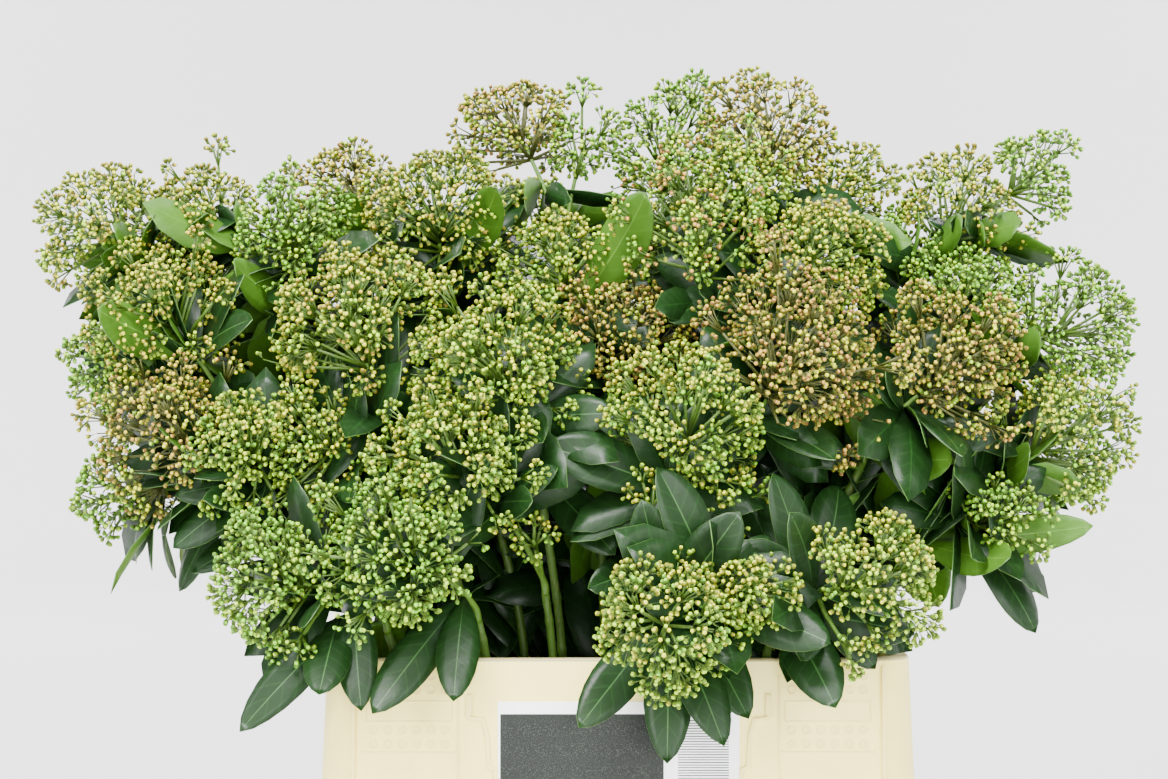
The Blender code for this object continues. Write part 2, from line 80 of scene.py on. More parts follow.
# What is moulded on each half of the skirt. A bar has a width and a height
RIBS = ((0.105, 0.2735, (0.0016, 0.0010)), (0.1735, RIM_Z - 0.006, (0.0026, 0.0016)))
RIB_FOOT_Z = SKIRT_Z + 0.004
GUIDE = ((0.0990, 0.2480), (0.0972, 0.2462), (0.0887, 0.2452), (0.0860, 0.2357),
         (0.0847, 0.2149), (0.0803, 0.2123), (0.0803, 0.1850))
GUIDE_BAR = (0.0030, 0.0022)
TAB = (0.0978, 0.2500, 0.2600)
TAB_BAR = (0.0042, 0.0022)
RING_ROWS_Z = (0.2736, 0.2644, 0.2383, 0.2292)
RINGS_A_ROW = 6
FIRST_RING_X = 0.1133
RING_STEP = 0.0094
RING_RADIUS = 0.0031
RING_HEIGHT = 0.0007
FRAME_X = (0.109, 0.165)
FRAME_Z = (0.2439, 0.2569)
FRAME_BAR = (0.0009, 0.0006)
LINE_X = (0.107, 0.168)
LINE_Z = 0.2240
LINE_BAR = (0.0010, 0.0006)

# The label: a card, a printed panel and a block of ruled lines
LABEL_SIZE = (0.158, 0.0006, 0.076)
LABEL_TOP_Z = 0.257
LABEL_BOTTOM_Z = LABEL_TOP_Z - LABEL_SIZE[2]
CARD_EDGE = 0.00015
INK_THICKNESS = 0.00006
INK_LIFT = TOUCHING + LABEL_SIZE[1] + 0.00002
PANEL_X = (-0.0774, 0.0295)
PANEL_Z = (LABEL_BOTTOM_Z + 0.002, 0.2489)
RULES_X = (0.0387, 0.0720)
RULES_Z = (LABEL_BOTTOM_Z + 0.004, 0.2450)
RULE_WIDTH = 0.0007
RULE_STEP = 0.0017

# The fan of stems
FOOT_RADIUS = 0.0036
TIP_RADIUS = 0.0028
SHOOT_STEM = 0.012
FOOT_SPREAD = 0.84
FAN_Z = 0.290
FAN_SLOPE = 4.0
FAN_SOFTNESS = 0.014
FAN_HEART = Vector((0.0, 0.0, 0.250))
MOUTH = (0.172, 0.120)
STEM_SIDES = 8
EVEN_RINGS = 30
NODES_A_STEM = 9
NODE_SPREAD = (0.3, 0.7)
NODE_SWELLING = 0.16
NODE_WIDTH = 0.0022
NODE_RINGS = (-2.0, -0.7, 0.0, 0.7, 2.0)

# The shoots. A low head hangs under its fork, and its twig parts from the first head's
FULLNESS = 1.12
NECK = 0.025
FORKED_NECK = 0.033
OVER_RIM = 0.024
TWIG_RADIUS = 0.0024
TWIG_SIDES = 7
TWIG_RINGS = 16
BEND_SHARE = 0.35
BEND_ALONG = 0.12
INTO_HEAD = 0.4
FOOT_CLEAR = 0.006
LOW_LOBE = 0.005
GOLDEN_ANGLE = pi * (3 - sqrt(5))

# A flower head's lobes: how many, how low they lean, how far out they reach as a share
# of the head's own reach, and their radius as a share of the head's size
MAIN_BRANCHES = 15
SMALL_HEAD_BRANCHES = 6
LOWEST_BRANCH = radians(112)
LOWEST_ON_TOP = radians(140)
MAIN_JITTER = 0.20
MAIN_REACH = (0.82, 1.18)
MAIN_RADIUS = (0.31, 0.49)
LOOSE_TRIES = 22
LOWEST_LOOSE = radians(135)
LOOSE_JITTER = 0.15
LOOSE_REACH = (1.12, 1.52)
LOOSE_RADIUS = (0.22, 0.36)
SWELL = 0.15
WAVINESS = 1.8

# A loose lobe fills the gap to a next head between two depths, in that head's reach. A
# few more stand free under the head, with nothing near them
FILLED_FROM = 0.85
FILLED_DEPTH = 2.1
FAR_AWAY = 9.0
FREE_LOBES = 2
FREE_BELOW = 0.1
FREE_REACH = 1.25

# The buds in a lobe
LOBE_AREA = 5.7
BUD_AREA = 40e-6
LEAST_BUDS = 7
LOWEST_BUD = radians(90)
BUD_JITTER = 0.13
BUDS_A_CYME = 4.4
LEAST_CYMES = 3
LOWEST_CYME = radians(94)
CYME_JITTER = 0.09
GATHERING = 0.25
BUD_REACH = (0.76, 1.03)
DEEP_SHARE = 0.20
DEEP_REACH = (0.40, 0.82)
BUD_RADIUS = 0.00178
BUD_SIZES = (0.86, 1.08)
RIPENING = 0.8
RIPENING_WAY = (-0.15, -0.25, 0.8)
ODD_BUDS = 0.3

# A bud's rings from its foot to its tip: the height and the spread, in radii
BUD_RINGS = ((-1.75, 1.0), (-0.45, 1.04), (0.52, 0.98), (0.98, 1.0))
CALYX_TOP = -0.6
CAP_FOOT = 0.6

# How a head keeps to its space
RIVAL_RANGE = 0.16
RIVAL_OVERLAP = 0.001
LOBE_SKIN = 0.80
SIBLING_SKIN = 0.80
BUD_CLEAR = 0.003

# A head's stalks: where they part, as a share of their way, and how thick they are
LOW_START = 0.66
LOBE_FORK = 0.8
CYME_JOINT = 0.52
PEDICEL_RADIUS = 0.00058
BRANCH_RADIUS = 0.00078
BRANCH_TAPER = 0.72
BOUGH_RADIUS = 0.0013
BOUGH_TAPER = 0.8

# The most that one piece holds
BUDS_A_PIECE = 7800
STALK_FACES = 150000

# A leaf's blade: its columns across and stations along, and the curves of its outline
RIB_WIDTH = 0.028
FINE_BLADE = ((-1.0, -0.56, -RIB_WIDTH, RIB_WIDTH, 0.56, 1.0), 9)
COARSE_BLADE = ((-1.0, 0.0, 1.0), 4)
LEAF_THICKNESS = 0.0005
TIP_CROWDING = 1.3
WIDEST_AT = 0.58
FOOT_CURVE = 1.9
TIP_CURVE = 2.2
TIP_BLUNTNESS = 0.72
LEAF_NECK = 0.035
SLIMNESS = (0.36, 0.43)
FRONT_BREADTH = 1.18
ARCH = (0.03, 0.10)
TWIST = 0.22
FOLD = (-0.06, 0.10)
WAVE = (0.0, 0.03)
FOLD_CURVE = 1.6
PUFF = 0.035
RIPPLES = 9
RIPPLE_SHIFT = 300

# The leaves under a head and on its twig: how many, and the lowest and highest lean in
# degrees from the head's axis
WHORLS = ((6, 58, 96), (13, 12, 125))
LEAST_HEAD = 0.027
TOPMOST = 0.62
HEAD_TRIES = 11
HEAD_LEAF_LENGTH = (0.058, 0.094)
SHORTENING = 0.003
OUTWARD_FROM = Vector((0.0, 0.10, 0.0))
OUTWARD = Vector((0.4, 1.0, 0.0))
AXIS_SHARE = 0.6
TURNED_SHARE = 0.6

# The leaves on the stems: their leans in degrees and their lengths. A stem's lane is its
# place over the bucket's foot, and the lanes in front carry none of these leaves
STEM_LEAVES = 20
LOW_LEAVES = 5
LEAFY_LANE = -0.035
STEM_LEANS = (25, 88)
STEM_LEAF_LENGTH = (0.060, 0.100)
FIRST_LEAF = 0.012
IN_BUCKET = 0.055
STEM_TRIES = 9
BACK_LEAVES = 14
BACK_LANE = 0.02
BACK_RISE = 0.115
BACK_LEANS = (48, 100)
BACK_LEAF_LENGTH = (0.060, 0.095)
BACK_UPPER = Vector((0.0, -0.9, 0.5))

# Where no leaf goes: near the part's box, in the bucket's walls, in front of the stems
# that show between the low heads, near the top, through a head's skin, or far from any
BOX_CLEAR = 0.002
BUCKET_CLEAR = 0.004
MOUTH_CLEAR = 0.006
STEM_WINDOW = ((-0.115, -0.30, 0.270), (0.005, -0.01, 0.352))
BARE_TOP = 0.60
BARE_ABOVE = 0.43
FREE_TIP = 1.25
TESTED_FROM = 0.3
TESTED_EDGE = 0.42
HEAD_SKIN = 1.02
INNER_SKIN = {"skin": 0.84, "behind": 0.1, "inner": True}
SUNK = 0.012
BESIDE = 2.4
FRONT_WAY = Vector((0.0, -1.0, 0.35))

# The stage: a floor that bends up into a wall. Each lamp has its place, what it is aimed
# at, its size and its power in watts
WALL_AWAY = 5.6
WALL_BEND = 1.2
WALL_TOP = 4.2
HEART = (0.0, 0.0, 0.4)
LAMPS = {
    "top_light": ((-0.3, -1.1, 2.4), HEART, (1.2, 0.8), 212),
    "front_left": ((-1.6, -2.5, 1.3), HEART, (1.0, 1.0), 66),
    "front_right": ((1.7, -2.4, 1.2), HEART, (1.0, 1.0), 52),
    "low_front": ((0.25, -2.5, 0.45), (0.0, -0.15, 0.14), (0.9, 0.25), 35),
    "back_light": ((0.2, 1.8, 2.3), HEART, (1.8, 0.9), 46),
}
WALL_LAMPS_AWAY = 3.7
WALL_LAMPS_Z = 2.9
WALL_LAMP_SIZE = (2.2, 0.6)
WALL_LAMP_POWERS = (262, 100, 120, 120, 100, 262)
WALL_AIM = (WALL_AWAY - 1.6, 0.1)
ROOM_COLOUR = (0.92, 0.94, 0.97, 1)
ROOM_STRENGTH = 0.06

# The camera
FRAME_WIDTH = 1168
FOCAL_PIXELS = 2676
SENSOR = 36.0
CAMERA_PLACE = (-0.0226, -1.895, 0.461)

# Each shoot lists its flower heads: the middle in X, Y and Z, the half width and the
# half height, all in millimetres, and the mixture of tints that its buds are dealt
SHOOTS = (
    ((-380, 40, 580, 34, 44, "olive"), (-342, 92, 578, 32, 38, "olive")),
    ((-298, 62, 588, 32, 36, "olive"), (-232, 8, 571, 31, 38, "green")),
    ((-197, 90, 609, 33, 36, "tan"), (-126, 20, 582, 50, 52, "olive")),
    ((-74, 92, 657, 36, 36, "tan"), (-22, 66, 644, 24, 54, "green")),
    ((38, 110, 642, 39, 40, "green"), (46, 175, 565, 40, 38, "lime")),
    ((117, 62, 650, 38, 48, "tan"), (166, 66, 605, 30, 38, "olive"), (88, 14, 606, 32, 32, "lime")),
    ((254, 62, 592, 38, 46, "olive"), (306, 60, 618, 26, 34, "green"), (204, 70, 556, 30, 32, "green")),
    ((248, 22, 527, 42, 28, "green"), (328, 24, 504, 37, 41, "green")),
    ((311, -22, 426, 44, 41, "lime"), (264, -56, 369, 36, 22, "green")),
    ((228, -62, 474, 45, 45, "tan"),),
    ((114, -112, 477, 52, 54, "rose"),),
    ((138, -34, 551, 42, 34, "straw"), (56, -34, 570, 47, 45, "blush")),
    ((2, -36, 495, 38, 46, "brown"), (-40, -10, 551, 36, 26, "lime")),
    ((-79, -104, 474, 50, 52, "lime"),),
    ((-111, -144, 414, 44, 38, "lime"), (-56, -124, 361, 17, 15, "lime")),
    ((-183, -72, 505, 48, 50, "straw"), (-206, -92, 420, 26, 44, "lime")),
    ((-318, -12, 517, 44, 42, "olive"), (-362, 14, 480, 26, 22, "green")),
    ((-310, -42, 426, 45, 54, "tan"), (-352, -8, 390, 27, 33, "green"), (-252, -94, 424, 33, 31, "lime")),
    ((-231, -134, 335, 37, 39, "green"), (-214, -146, 290, 16, 16, "green")),
    ((-142, -164, 350, 46, 46, "green"),),
    ((47, -134, 436, 42, 40, "lime"), (20, -138, 386, 20, 20, "lime"), (76, -138, 386, 22, 22, "lime")),
    ((28, -208, 309, 47, 44, "lime"), (82, -190, 333, 27, 18, "lime")),
    ((160, -174, 335, 40, 40, "lime"), (148, -182, 292, 16, 17, "lime")),
    ((-275, 142, 530, 42, 40, "olive"), (-350, 100, 455, 38, 36, "green"), (-290, 190, 440, 42, 40, "lime")),
    ((-162, 165, 558, 42, 40, "tan"), (-188, 228, 468, 44, 42, "lime"), (-225, 218, 370, 38, 36, "green")),
    ((-58, 176, 578, 42, 40, "lime"), (-84, 244, 482, 44, 42, "olive"), (-108, 246, 376, 40, 38, "green")),
    ((22, 246, 476, 44, 42, "green"), (2, 250, 366, 40, 38, "lime")),
    ((140, 165, 560, 42, 40, "rose"), (130, 238, 465, 44, 42, "lime"), (112, 242, 360, 38, 36, "green")),
    ((254, 135, 500, 42, 40, "lime"), (230, 205, 420, 42, 40, "tan"), (318, 96, 420, 38, 36, "green"),
     (218, 196, 340, 34, 32, "lime")),
)

# The leaves that show best from the front: the shoot's number, about where the leaf
# sets out, its tip, its width, in millimetres, and which side faces the front: 1 is
# the upper side and -1 the underside
FRONT_LEAVES = (
    (2, (-234, -10, 492), (-264, -52, 548), 29, -1),
    (3, (-47, 35, 548), (-83, -40, 601), 27, -1),
    (9, (219, -40, 350), (325, -70, 368), 24, -1),
    (9, (215, -30, 352), (262, -110, 349), 27, -1),
    (10, (158, -44, 388), (166, -92, 460), 25, -1),
    (10, (158, -44, 388), (226, -95, 414), 27, -1),
    (10, (164, -46, 396), (262, -70, 430), 25, 1),
    (11, (82, -80, 402), (102, -132, 352), 26, 1),
    (13, (-13, -14, 530), (20, -84, 594), 33, -1),
    (13, (-13, -16, 440), (38, -60, 400), 26, 1),
    (14, (-54, -72, 405), (-2, -128, 352), 26, 1),
    (14, (-54, -72, 400), (-72, -138, 376), 24, 1),
    (16, (-150, -64, 412), (-170, -132, 372), 26, 1),
    (17, (-300, -2, 486), (-353, -78, 515), 30, -1),
    (17, (-280, 0, 460), (-250, -62, 454), 24, 1),
    (18, (-226, -36, 372), (-202, -112, 326), 26, 1),
    (18, (-232, -38, 380), (-276, -116, 388), 22, 1),
    (18, (-226, -34, 368), (-290, -70, 336), 20, 1),
    (19, (-170, -106, 314), (-245, -168, 240), 24, 1),
    (19, (-186, -116, 318), (-192, -184, 266), 26, 1),
    (19, (-178, -110, 316), (-166, -172, 254), 24, 1),
    (20, (-104, -118, 322), (-158, -186, 254), 26, 1),
    (20, (-104, -118, 322), (-106, -186, 262), 24, 1),
    (21, (26, -82, 344), (58, -148, 334), 28, 1),
    (21, (26, -82, 340), (-20, -132, 330), 24, 1),
    (22, (34, -136, 311), (-26, -194, 246), 27, 1),
    (22, (34, -150, 310), (30, -200, 224), 27, 1),
    (22, (34, -150, 310), (66, -206, 236), 26, 1),
    (22, (44, -140, 314), (82, -196, 252), 26, 1),
    (22, (60, -156, 324), (134, -196, 300), 30, 1),
    (23, (108, -126, 312), (138, -188, 258), 30, 1),
    (23, (112, -130, 314), (190, -176, 304), 26, 1),
)

# The buds' tints, the side of the bud and its paler cap, as web colours
# Each tint's cap is partly the bud's own paler tip and partly a painted highlight, and its darker side is
# partly painted shade
BUD_TINTS = {
    "green": ("467411", "86C226"),
    "lime": ("607E11", "AED426"),
    "yellow": ("777A11", "CAD02A"),
    "olive": ("525A0F", "9CAA24"),
    "tan": ("6E6016", "BAAA32"),
    "rose": ("6A4C1C", "B4923C"),
}
TINT_MIXTURES = {
    "green": {"green": 0.65, "lime": 0.35},
    "lime": {"lime": 0.62, "yellow": 0.25, "green": 0.13},
    "straw": {"lime": 0.42, "yellow": 0.43, "tan": 0.15},
    "olive": {"lime": 0.28, "yellow": 0.35, "olive": 0.22, "tan": 0.15},
    "blush": {"lime": 0.50, "green": 0.25, "rose": 0.13, "yellow": 0.12},
    "tan": {"tan": 0.45, "yellow": 0.27, "rose": 0.15, "lime": 0.13},
    "rose": {"rose": 0.38, "tan": 0.38, "yellow": 0.24},
    "brown": {"tan": 0.50, "rose": 0.30, "olive": 0.20},
}
GREEN_TINTS = ("green", "lime")
OLIVE_STALKED = ("tan", "rose", "brown")
# The stalks' own greens, darkened as painted shade in the gaps between the buds
STALK_COLOURS = {"green": ("466612", "324C0D"), "olive": ("484D11", "353A0C")}


# Mixing materials

def linear(web):
    """A web colour as the linear values that a shader takes."""
    values = [int(web[i:i + 2], 16) / 255 for i in (0, 2, 4)]
    return tuple(v / 12.92 if v <= 0.04045 else ((v + 0.055) / 1.055) ** 2.4 for v in values) + (1.0,)


class Value:
    """A socket that takes part in sums: each sum adds its own Math node."""

    def __init__(self, finish, socket):
        self.finish = finish
        self.socket = socket

    def worked(self, operation, first, second=0.0):
        return self.finish.node("ShaderNodeMath", {"operation": operation}, {0: first, 1: second})

    def __add__(self, other):
        return self.worked("ADD", self, other)

    def __radd__(self, other):
        return self.worked("ADD", other, self)

    def __sub__(self, other):
        return self.worked("SUBTRACT", self, other)

    def __rsub__(self, other):
        return self.worked("SUBTRACT", other, self)

    def __mul__(self, other):
        return self.worked("MULTIPLY", self, other)

    def __rmul__(self, other):
        return self.worked("MULTIPLY", other, self)

    def __lt__(self, other):
        return self.worked("LESS_THAN", self, other)

    def __mod__(self, other):
        return self.worked("FLOORED_MODULO", self, other)

    def __abs__(self):
        return self.worked("ABSOLUTE", self)


class Finish:
    """A material in the making, round one Principled shader."""

    def __init__(self, name, **constants):
        self.material = bpy.data.materials.new(name)
        self.material.use_nodes = True
        self.tree = self.material.node_tree
        self.shader = self.tree.nodes["Principled BSDF"]
        for key, value in constants.items():
            self.shader.inputs[key.replace("_", " ")].default_value = value

    def node(self, kind, settings, sockets, out=0):
        """Adds a node: its settings first, then the values or links of its sockets."""
        made = self.tree.nodes.new(kind)
        for key, value in settings.items():
            if key == "stops":
                self.set_stops(made.color_ramp, value)
            else:
                setattr(made, key, value)
        for key, value in sockets.items():
            self.feed(made.inputs[key], value)
        return Value(self, made.outputs[out])

    def set_stops(self, ramp, stops):
        while len(ramp.elements) < len(stops):
            ramp.elements.new(1.0)
        for element, (place, colour) in zip(ramp.elements, stops):
            element.position = place
            element.color = colour

    def feed(self, socket, value):
        if isinstance(value, Value):
            self.tree.links.new(value.socket, socket)
        else:
            socket.default_value = value

    def place(self):
        return self.node("ShaderNodeTexCoord", {}, {}, out="Object")

    def noise(self, scale, detail=2.0, where=None):
        sockets = {"Vector": where or self.place(), "Scale": scale, "Detail": detail}
        return self.node("ShaderNodeTexNoise", {}, sockets)

    def mixed(self, share, first, second):
        """Two colours mixed by a share."""
        sockets = {0: share, 6: first, 7: second}
        return self.node("ShaderNodeMix", {"data_type": "RGBA"}, sockets, out=2)

    def ramp(self, share, *stops):
        return self.node("ShaderNodeValToRGB", {"stops": stops}, {0: share})

    def paint(self, colour, roughness, height=None, depth=0.0, strength=0.0):
        """Links what varies to the shader, and where there is a height, its bump."""
        self.feed(self.shader.inputs["Base Color"], colour)
        self.feed(self.shader.inputs["Roughness"], roughness)
        if height is not None:
            sockets = {"Height": height, "Distance": depth, "Strength": strength}
            self.feed(self.shader.inputs["Normal"], self.node("ShaderNodeBump", {}, sockets))
        return self.material


def plastic_finish(name, light, dark):
    """Matte moulded plastic: faintly cloudy, with fine grain and a few scuffs."""
    finish = Finish(name, IOR=1.46)
    cloud = finish.noise(7.0, 3.0)
    grain = finish.noise(1500.0, 1.0)
    scuff = finish.ramp(finish.noise(42.0, 6.0), (0.60, linear("000000")), (0.74, linear("FFFFFF")))
    clean = finish.mixed(cloud, linear(light), linear(dark))
    colour = finish.mixed(scuff * 0.16, clean, linear("B3A884"))
    return finish.paint(colour, 0.36 + 0.10 * cloud + 0.12 * scuff, grain, 0.0002, 0.25)


def card_finish():
    """White card with the faintest mottle."""
    finish = Finish("white_card", IOR=1.45)
    mottle = finish.noise(90.0, 4.0)
    colour = finish.mixed(mottle, linear("FCFDFC"), linear("F2F4F3"))
    return finish.paint(colour, 0.42 + 0.1 * mottle, finish.noise(900.0), 0.0001, 0.3)


def ink_finish():
    """Charcoal ink, speckled where the print is thin."""
    finish = Finish("charcoal_ink", IOR=1.36)
    speck = finish.ramp(finish.noise(1700.0, 1.0), (0.54, linear("090E09")), (0.74, linear("3A433A")))
    return finish.paint(speck, 0.5 + 0.1 * finish.noise(300.0))


def bark_finish(name, light, dark):
    """Young green bark: streaked along the stem, with small pale pores."""
    finish = Finish(name, IOR=1.45)
    stretch = finish.node("ShaderNodeMapping", {}, {"Vector": finish.place(), "Scale": (1.0, 1.0, 0.22)})
    streak = finish.noise(260.0, 4.0, stretch)
    speck = finish.noise(900.0, 1.0, stretch)
    pore = finish.ramp(speck, (0.64, linear("000000")), (0.70, linear("FFFFFF")))
    skin = finish.mixed(streak, linear(light), linear(dark))
    colour = finish.mixed(pore * 0.5, skin, linear("85794A"))
    return finish.paint(colour, 0.42 + 0.2 * streak, streak + pore, 0.0003, 0.5)


def bud_finish(name, colour, deeper, roughness):
    """A waxy bud skin in one tint, a little deeper here and there."""
    finish = Finish(name, IOR=1.36)
    patch = finish.noise(320.0, 1.0)
    return finish.paint(finish.mixed(patch, colour, deeper), roughness + 0.12 * patch)


def deepened(colour, by):
    return tuple(v * by for v in colour[:3]) + (1.0,)


def leaf_finish(name, light, dark, vein, roughness, relief, index):
    """A leathery blade: mottled, with side veins that run out from the rib."""
    finish = Finish(name, IOR=index)
    uv = finish.node("ShaderNodeUVMap", {"uv_map": "blade"}, {})
    across = finish.node("ShaderNodeSeparateXYZ", {}, {0: uv})
    along = finish.node("ShaderNodeSeparateXYZ", {}, {0: uv}, out=1)
    slope = (along * 9.0 - abs(across - 0.5) * 2.6) % 1.0
    line = 1.0 - (abs(slope - 0.5) * 2.0 < 0.84)
    rib = abs(across - 0.5) < RIB_WIDTH / 2
    mottle = finish.noise(46.0, 4.0)
    fine = finish.noise(420.0, 2.0)
    blade = finish.mixed(mottle, linear(light), linear(dark))
    colour = finish.mixed(rib * 0.5, finish.mixed(line * 0.16, blade, linear(vein)), linear(vein))
    height = fine * 0.5 + finish.noise(150.0, 2.0) - line * 0.5
    return finish.paint(colour, roughness + 0.16 * fine, height, 0.0006, relief)


def rib_finish(name, light, dark):
    """The smooth skin of a leaf's rib or edge."""
    finish = Finish(name, IOR=1.45)
    shade = finish.noise(240.0)
    return finish.paint(finish.mixed(shade, linear(light), linear(dark)), 0.4 + 0.1 * shade)


def floor_finish():
    """Matte pale paint with slow changes of shade."""
    finish = Finish("pale_floor")
    shade = finish.noise(1.2, 2.0)
    colour = finish.mixed(shade, (0.66, 0.665, 0.66, 1), (0.69, 0.69, 0.69, 1))
    return finish.paint(colour, 0.75 + 0.1 * shade)


# Shapes as arrays

class Shape:
    """A small template: its points, its triangles and each triangle's finish."""

    def __init__(self, bm, finish_of=None):
        bmesh.ops.triangulate(bm, faces=bm.faces)
        bm.normal_update()
        bm.verts.index_update()
        self.spots = np.array([v.co for v in bm.verts])
        self.faces = np.array([[v.index for v in f.verts] for f in bm.faces])
        self.slots = np.array([finish_of(f) if finish_of else 0 for f in bm.faces])
        bm.free()

    def placed(self, turns, places):
        """A copy for each turn matrix and place, as one set of arrays."""
        spots = np.einsum("nij,vj->nvi", turns, self.spots) + places[:, None]
        shift = (np.arange(len(places)) * len(self.spots))[:, None, None]
        faces = (self.faces[None] + shift).reshape(-1, 3)
        return spots.reshape(-1, 3), faces, np.tile(self.slots, len(places))


class Heap:
    """Arrays gathered from many shapes, to be made into one piece."""

    def __init__(self):
        self.spots, self.faces, self.slots, self.marks = [], [], [], []
        self.size = 0

    def add(self, spots, faces, slots, marks=None):
        self.faces.append(faces + self.size)
        self.spots.append(spots)
        self.slots.append(slots)
        self.marks.append(marks)
        self.size += len(spots)

    def piece(self, name, finishes):
        mesh = bpy.data.meshes.new(name)
        faces = np.concatenate(self.faces)
        mesh.from_pydata(np.concatenate(self.spots), [], faces)
        for finish in finishes:
            mesh.materials.append(finish)
        mesh.polygons.foreach_set("material_index", np.concatenate(self.slots).astype(np.int32))
        if self.marks[0] is not None:
            layer = mesh.uv_layers.new(name="blade")
            marks = np.concatenate(self.marks)[faces.ravel()]
            layer.uv.foreach_set("vector", marks.ravel().astype(np.float32))
        mesh.shade_smooth()
        mesh.update()
        return add_piece(name, mesh)


def add_piece(name, mesh):
    piece = bpy.data.objects.new(name, mesh)
    bpy.context.scene.collection.objects.link(piece)
    return piece


def finish_piece(piece, slot, *nodes):
    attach(piece, "root")
    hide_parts(*nodes)


def rod_shape(sides, rings, top=1.0):
    """A closed rod of unit length along +Z, with evenly spaced rings."""
    bm = bmesh.new()
    bmesh.ops.create_cone(bm, cap_ends=True, segments=sides, radius1=1.0, radius2=top, depth=1.0,
                          matrix=Matrix.Translation((0, 0, 0.5)))
    if rings > 2:
        upright = [e for e in bm.edges if abs(e.verts[0].co.z - e.verts[1].co.z) > 0.5]
        bmesh.ops.subdivide_edges(bm, edges=upright, cuts=rings - 2)
    return Shape(bm)


def spike_shape():
    """A three-sided spike of unit length that widens from its point along +Z."""
    bm = bmesh.new()
    bmesh.ops.create_cone(bm, cap_ends=True, segments=3, radius1=0.0, radius2=1.0, depth=1.0,
                          matrix=Matrix.Translation((0, 0, 0.5)))
    bmesh.ops.remove_doubles(bm, verts=bm.verts, dist=1e-4)
    return Shape(bm)


def bent_rod(shape, spots, radii):
    """The rod's rings laid along a path, each with its own radius."""
    along = np.gradient(spots, axis=0)
    along /= np.linalg.norm(along, axis=1)[:, None]
    across = np.zeros_like(along)
    last = np.array([0.93, 0.31, 0.17])
    for i, way in enumerate(along):
        last = last - way * last.dot(way)
        last /= np.linalg.norm(last)
        across[i] = last
    third = np.cross(along, across)
    ring = np.rint(shape.spots[:, 2] * (len(spots) - 1)).astype(int)
    flat = shape.spots[:, 0:1] * across[ring] + shape.spots[:, 1:2] * third[ring]
    return spots[ring] + radii[ring][:, None] * flat, shape.faces, shape.slots


def turned_to(ways, widths, lengths):
    """Matrices that turn +Z to each way, with a width and a length for each."""
    start = np.where(np.abs(ways[:, 2:3]) < 0.9, [[0.0, 0.0, 1.0]], [[1.0, 0.0, 0.0]])
    across = np.cross(ways, start)
    across /= np.linalg.norm(across, axis=1)[:, None]
    third = np.cross(ways, across)
    widths = widths[:, None]
    return np.stack([across * widths, third * widths, ways * lengths[:, None]], axis=2)


def units(vectors):
    return vectors / np.linalg.norm(vectors, axis=1)[:, None]


# The bucket

def shrunk(size, by):
    return (size[0] - 2 * by, size[1] - 2 * by)


def size_at(z, low_z, low_size, high_z, high_size):
    """The size at a height on a straight wall between two sizes."""
    share = (z - low_z) / (high_z - low_z)
    return tuple(low + share * (high - low) for low, high in zip(low_size, high_size))


def skirt_face_y(z):
    """How far in front of the middle the skirt's flat front stands at a height."""
    return -size_at(z, SKIRT_Z, SKIRT_SIZE, RIM_Z - EDGE, RIM_SIZE)[1] / 2


def rounded_rectangle(bm, size, z, radius, segments):
    """One flat face with rounded corners."""
    place = Matrix.Translation((0, 0, z)) @ Matrix.Diagonal((size[0], size[1], 1, 1))
    made = bmesh.ops.create_grid(bm, x_segments=1, y_segments=1, size=0.5, matrix=place)
    bmesh.ops.bevel(bm, geom=made["verts"], offset=radius, offset_type="OFFSET", segments=segments,
                    profile=0.5, affect="VERTICES", material=-1)
    return bm.faces[:][-1]


def drawn_up(bm, face, start_size, profile):
    """Draws a rounded face through a profile of sizes and heights, as a moulded wall."""
    size = start_size
    for next_size, z in profile:
        made = bmesh.ops.extrude_face_region(bm, geom=[face])
        face_list = [item for item in made["geom"] if isinstance(item, bmesh.types.BMFace)]
        bmesh.ops.delete(bm, geom=[face], context="FACES_ONLY")
        face = face_list[0]
        for vert in face.verts:
            vert.co.x += (next_size[0] - size[0]) / 2 * (1 if vert.co.x > 0 else -1)
            vert.co.y += (next_size[1] - size[1]) / 2 * (1 if vert.co.y > 0 else -1)
            vert.co.z = z
        size = next_size


def quarter(size, z, radius, start, steps):
    """Sizes and heights round a rolled edge whose arc's middle is on size and z."""
    spots = []
    for i in range(steps + 1):
        angle = start + pi / 2 * i / steps
        spots.append((shrunk(size, -radius * cos(angle)), z + radius * sin(angle)))
    return spots


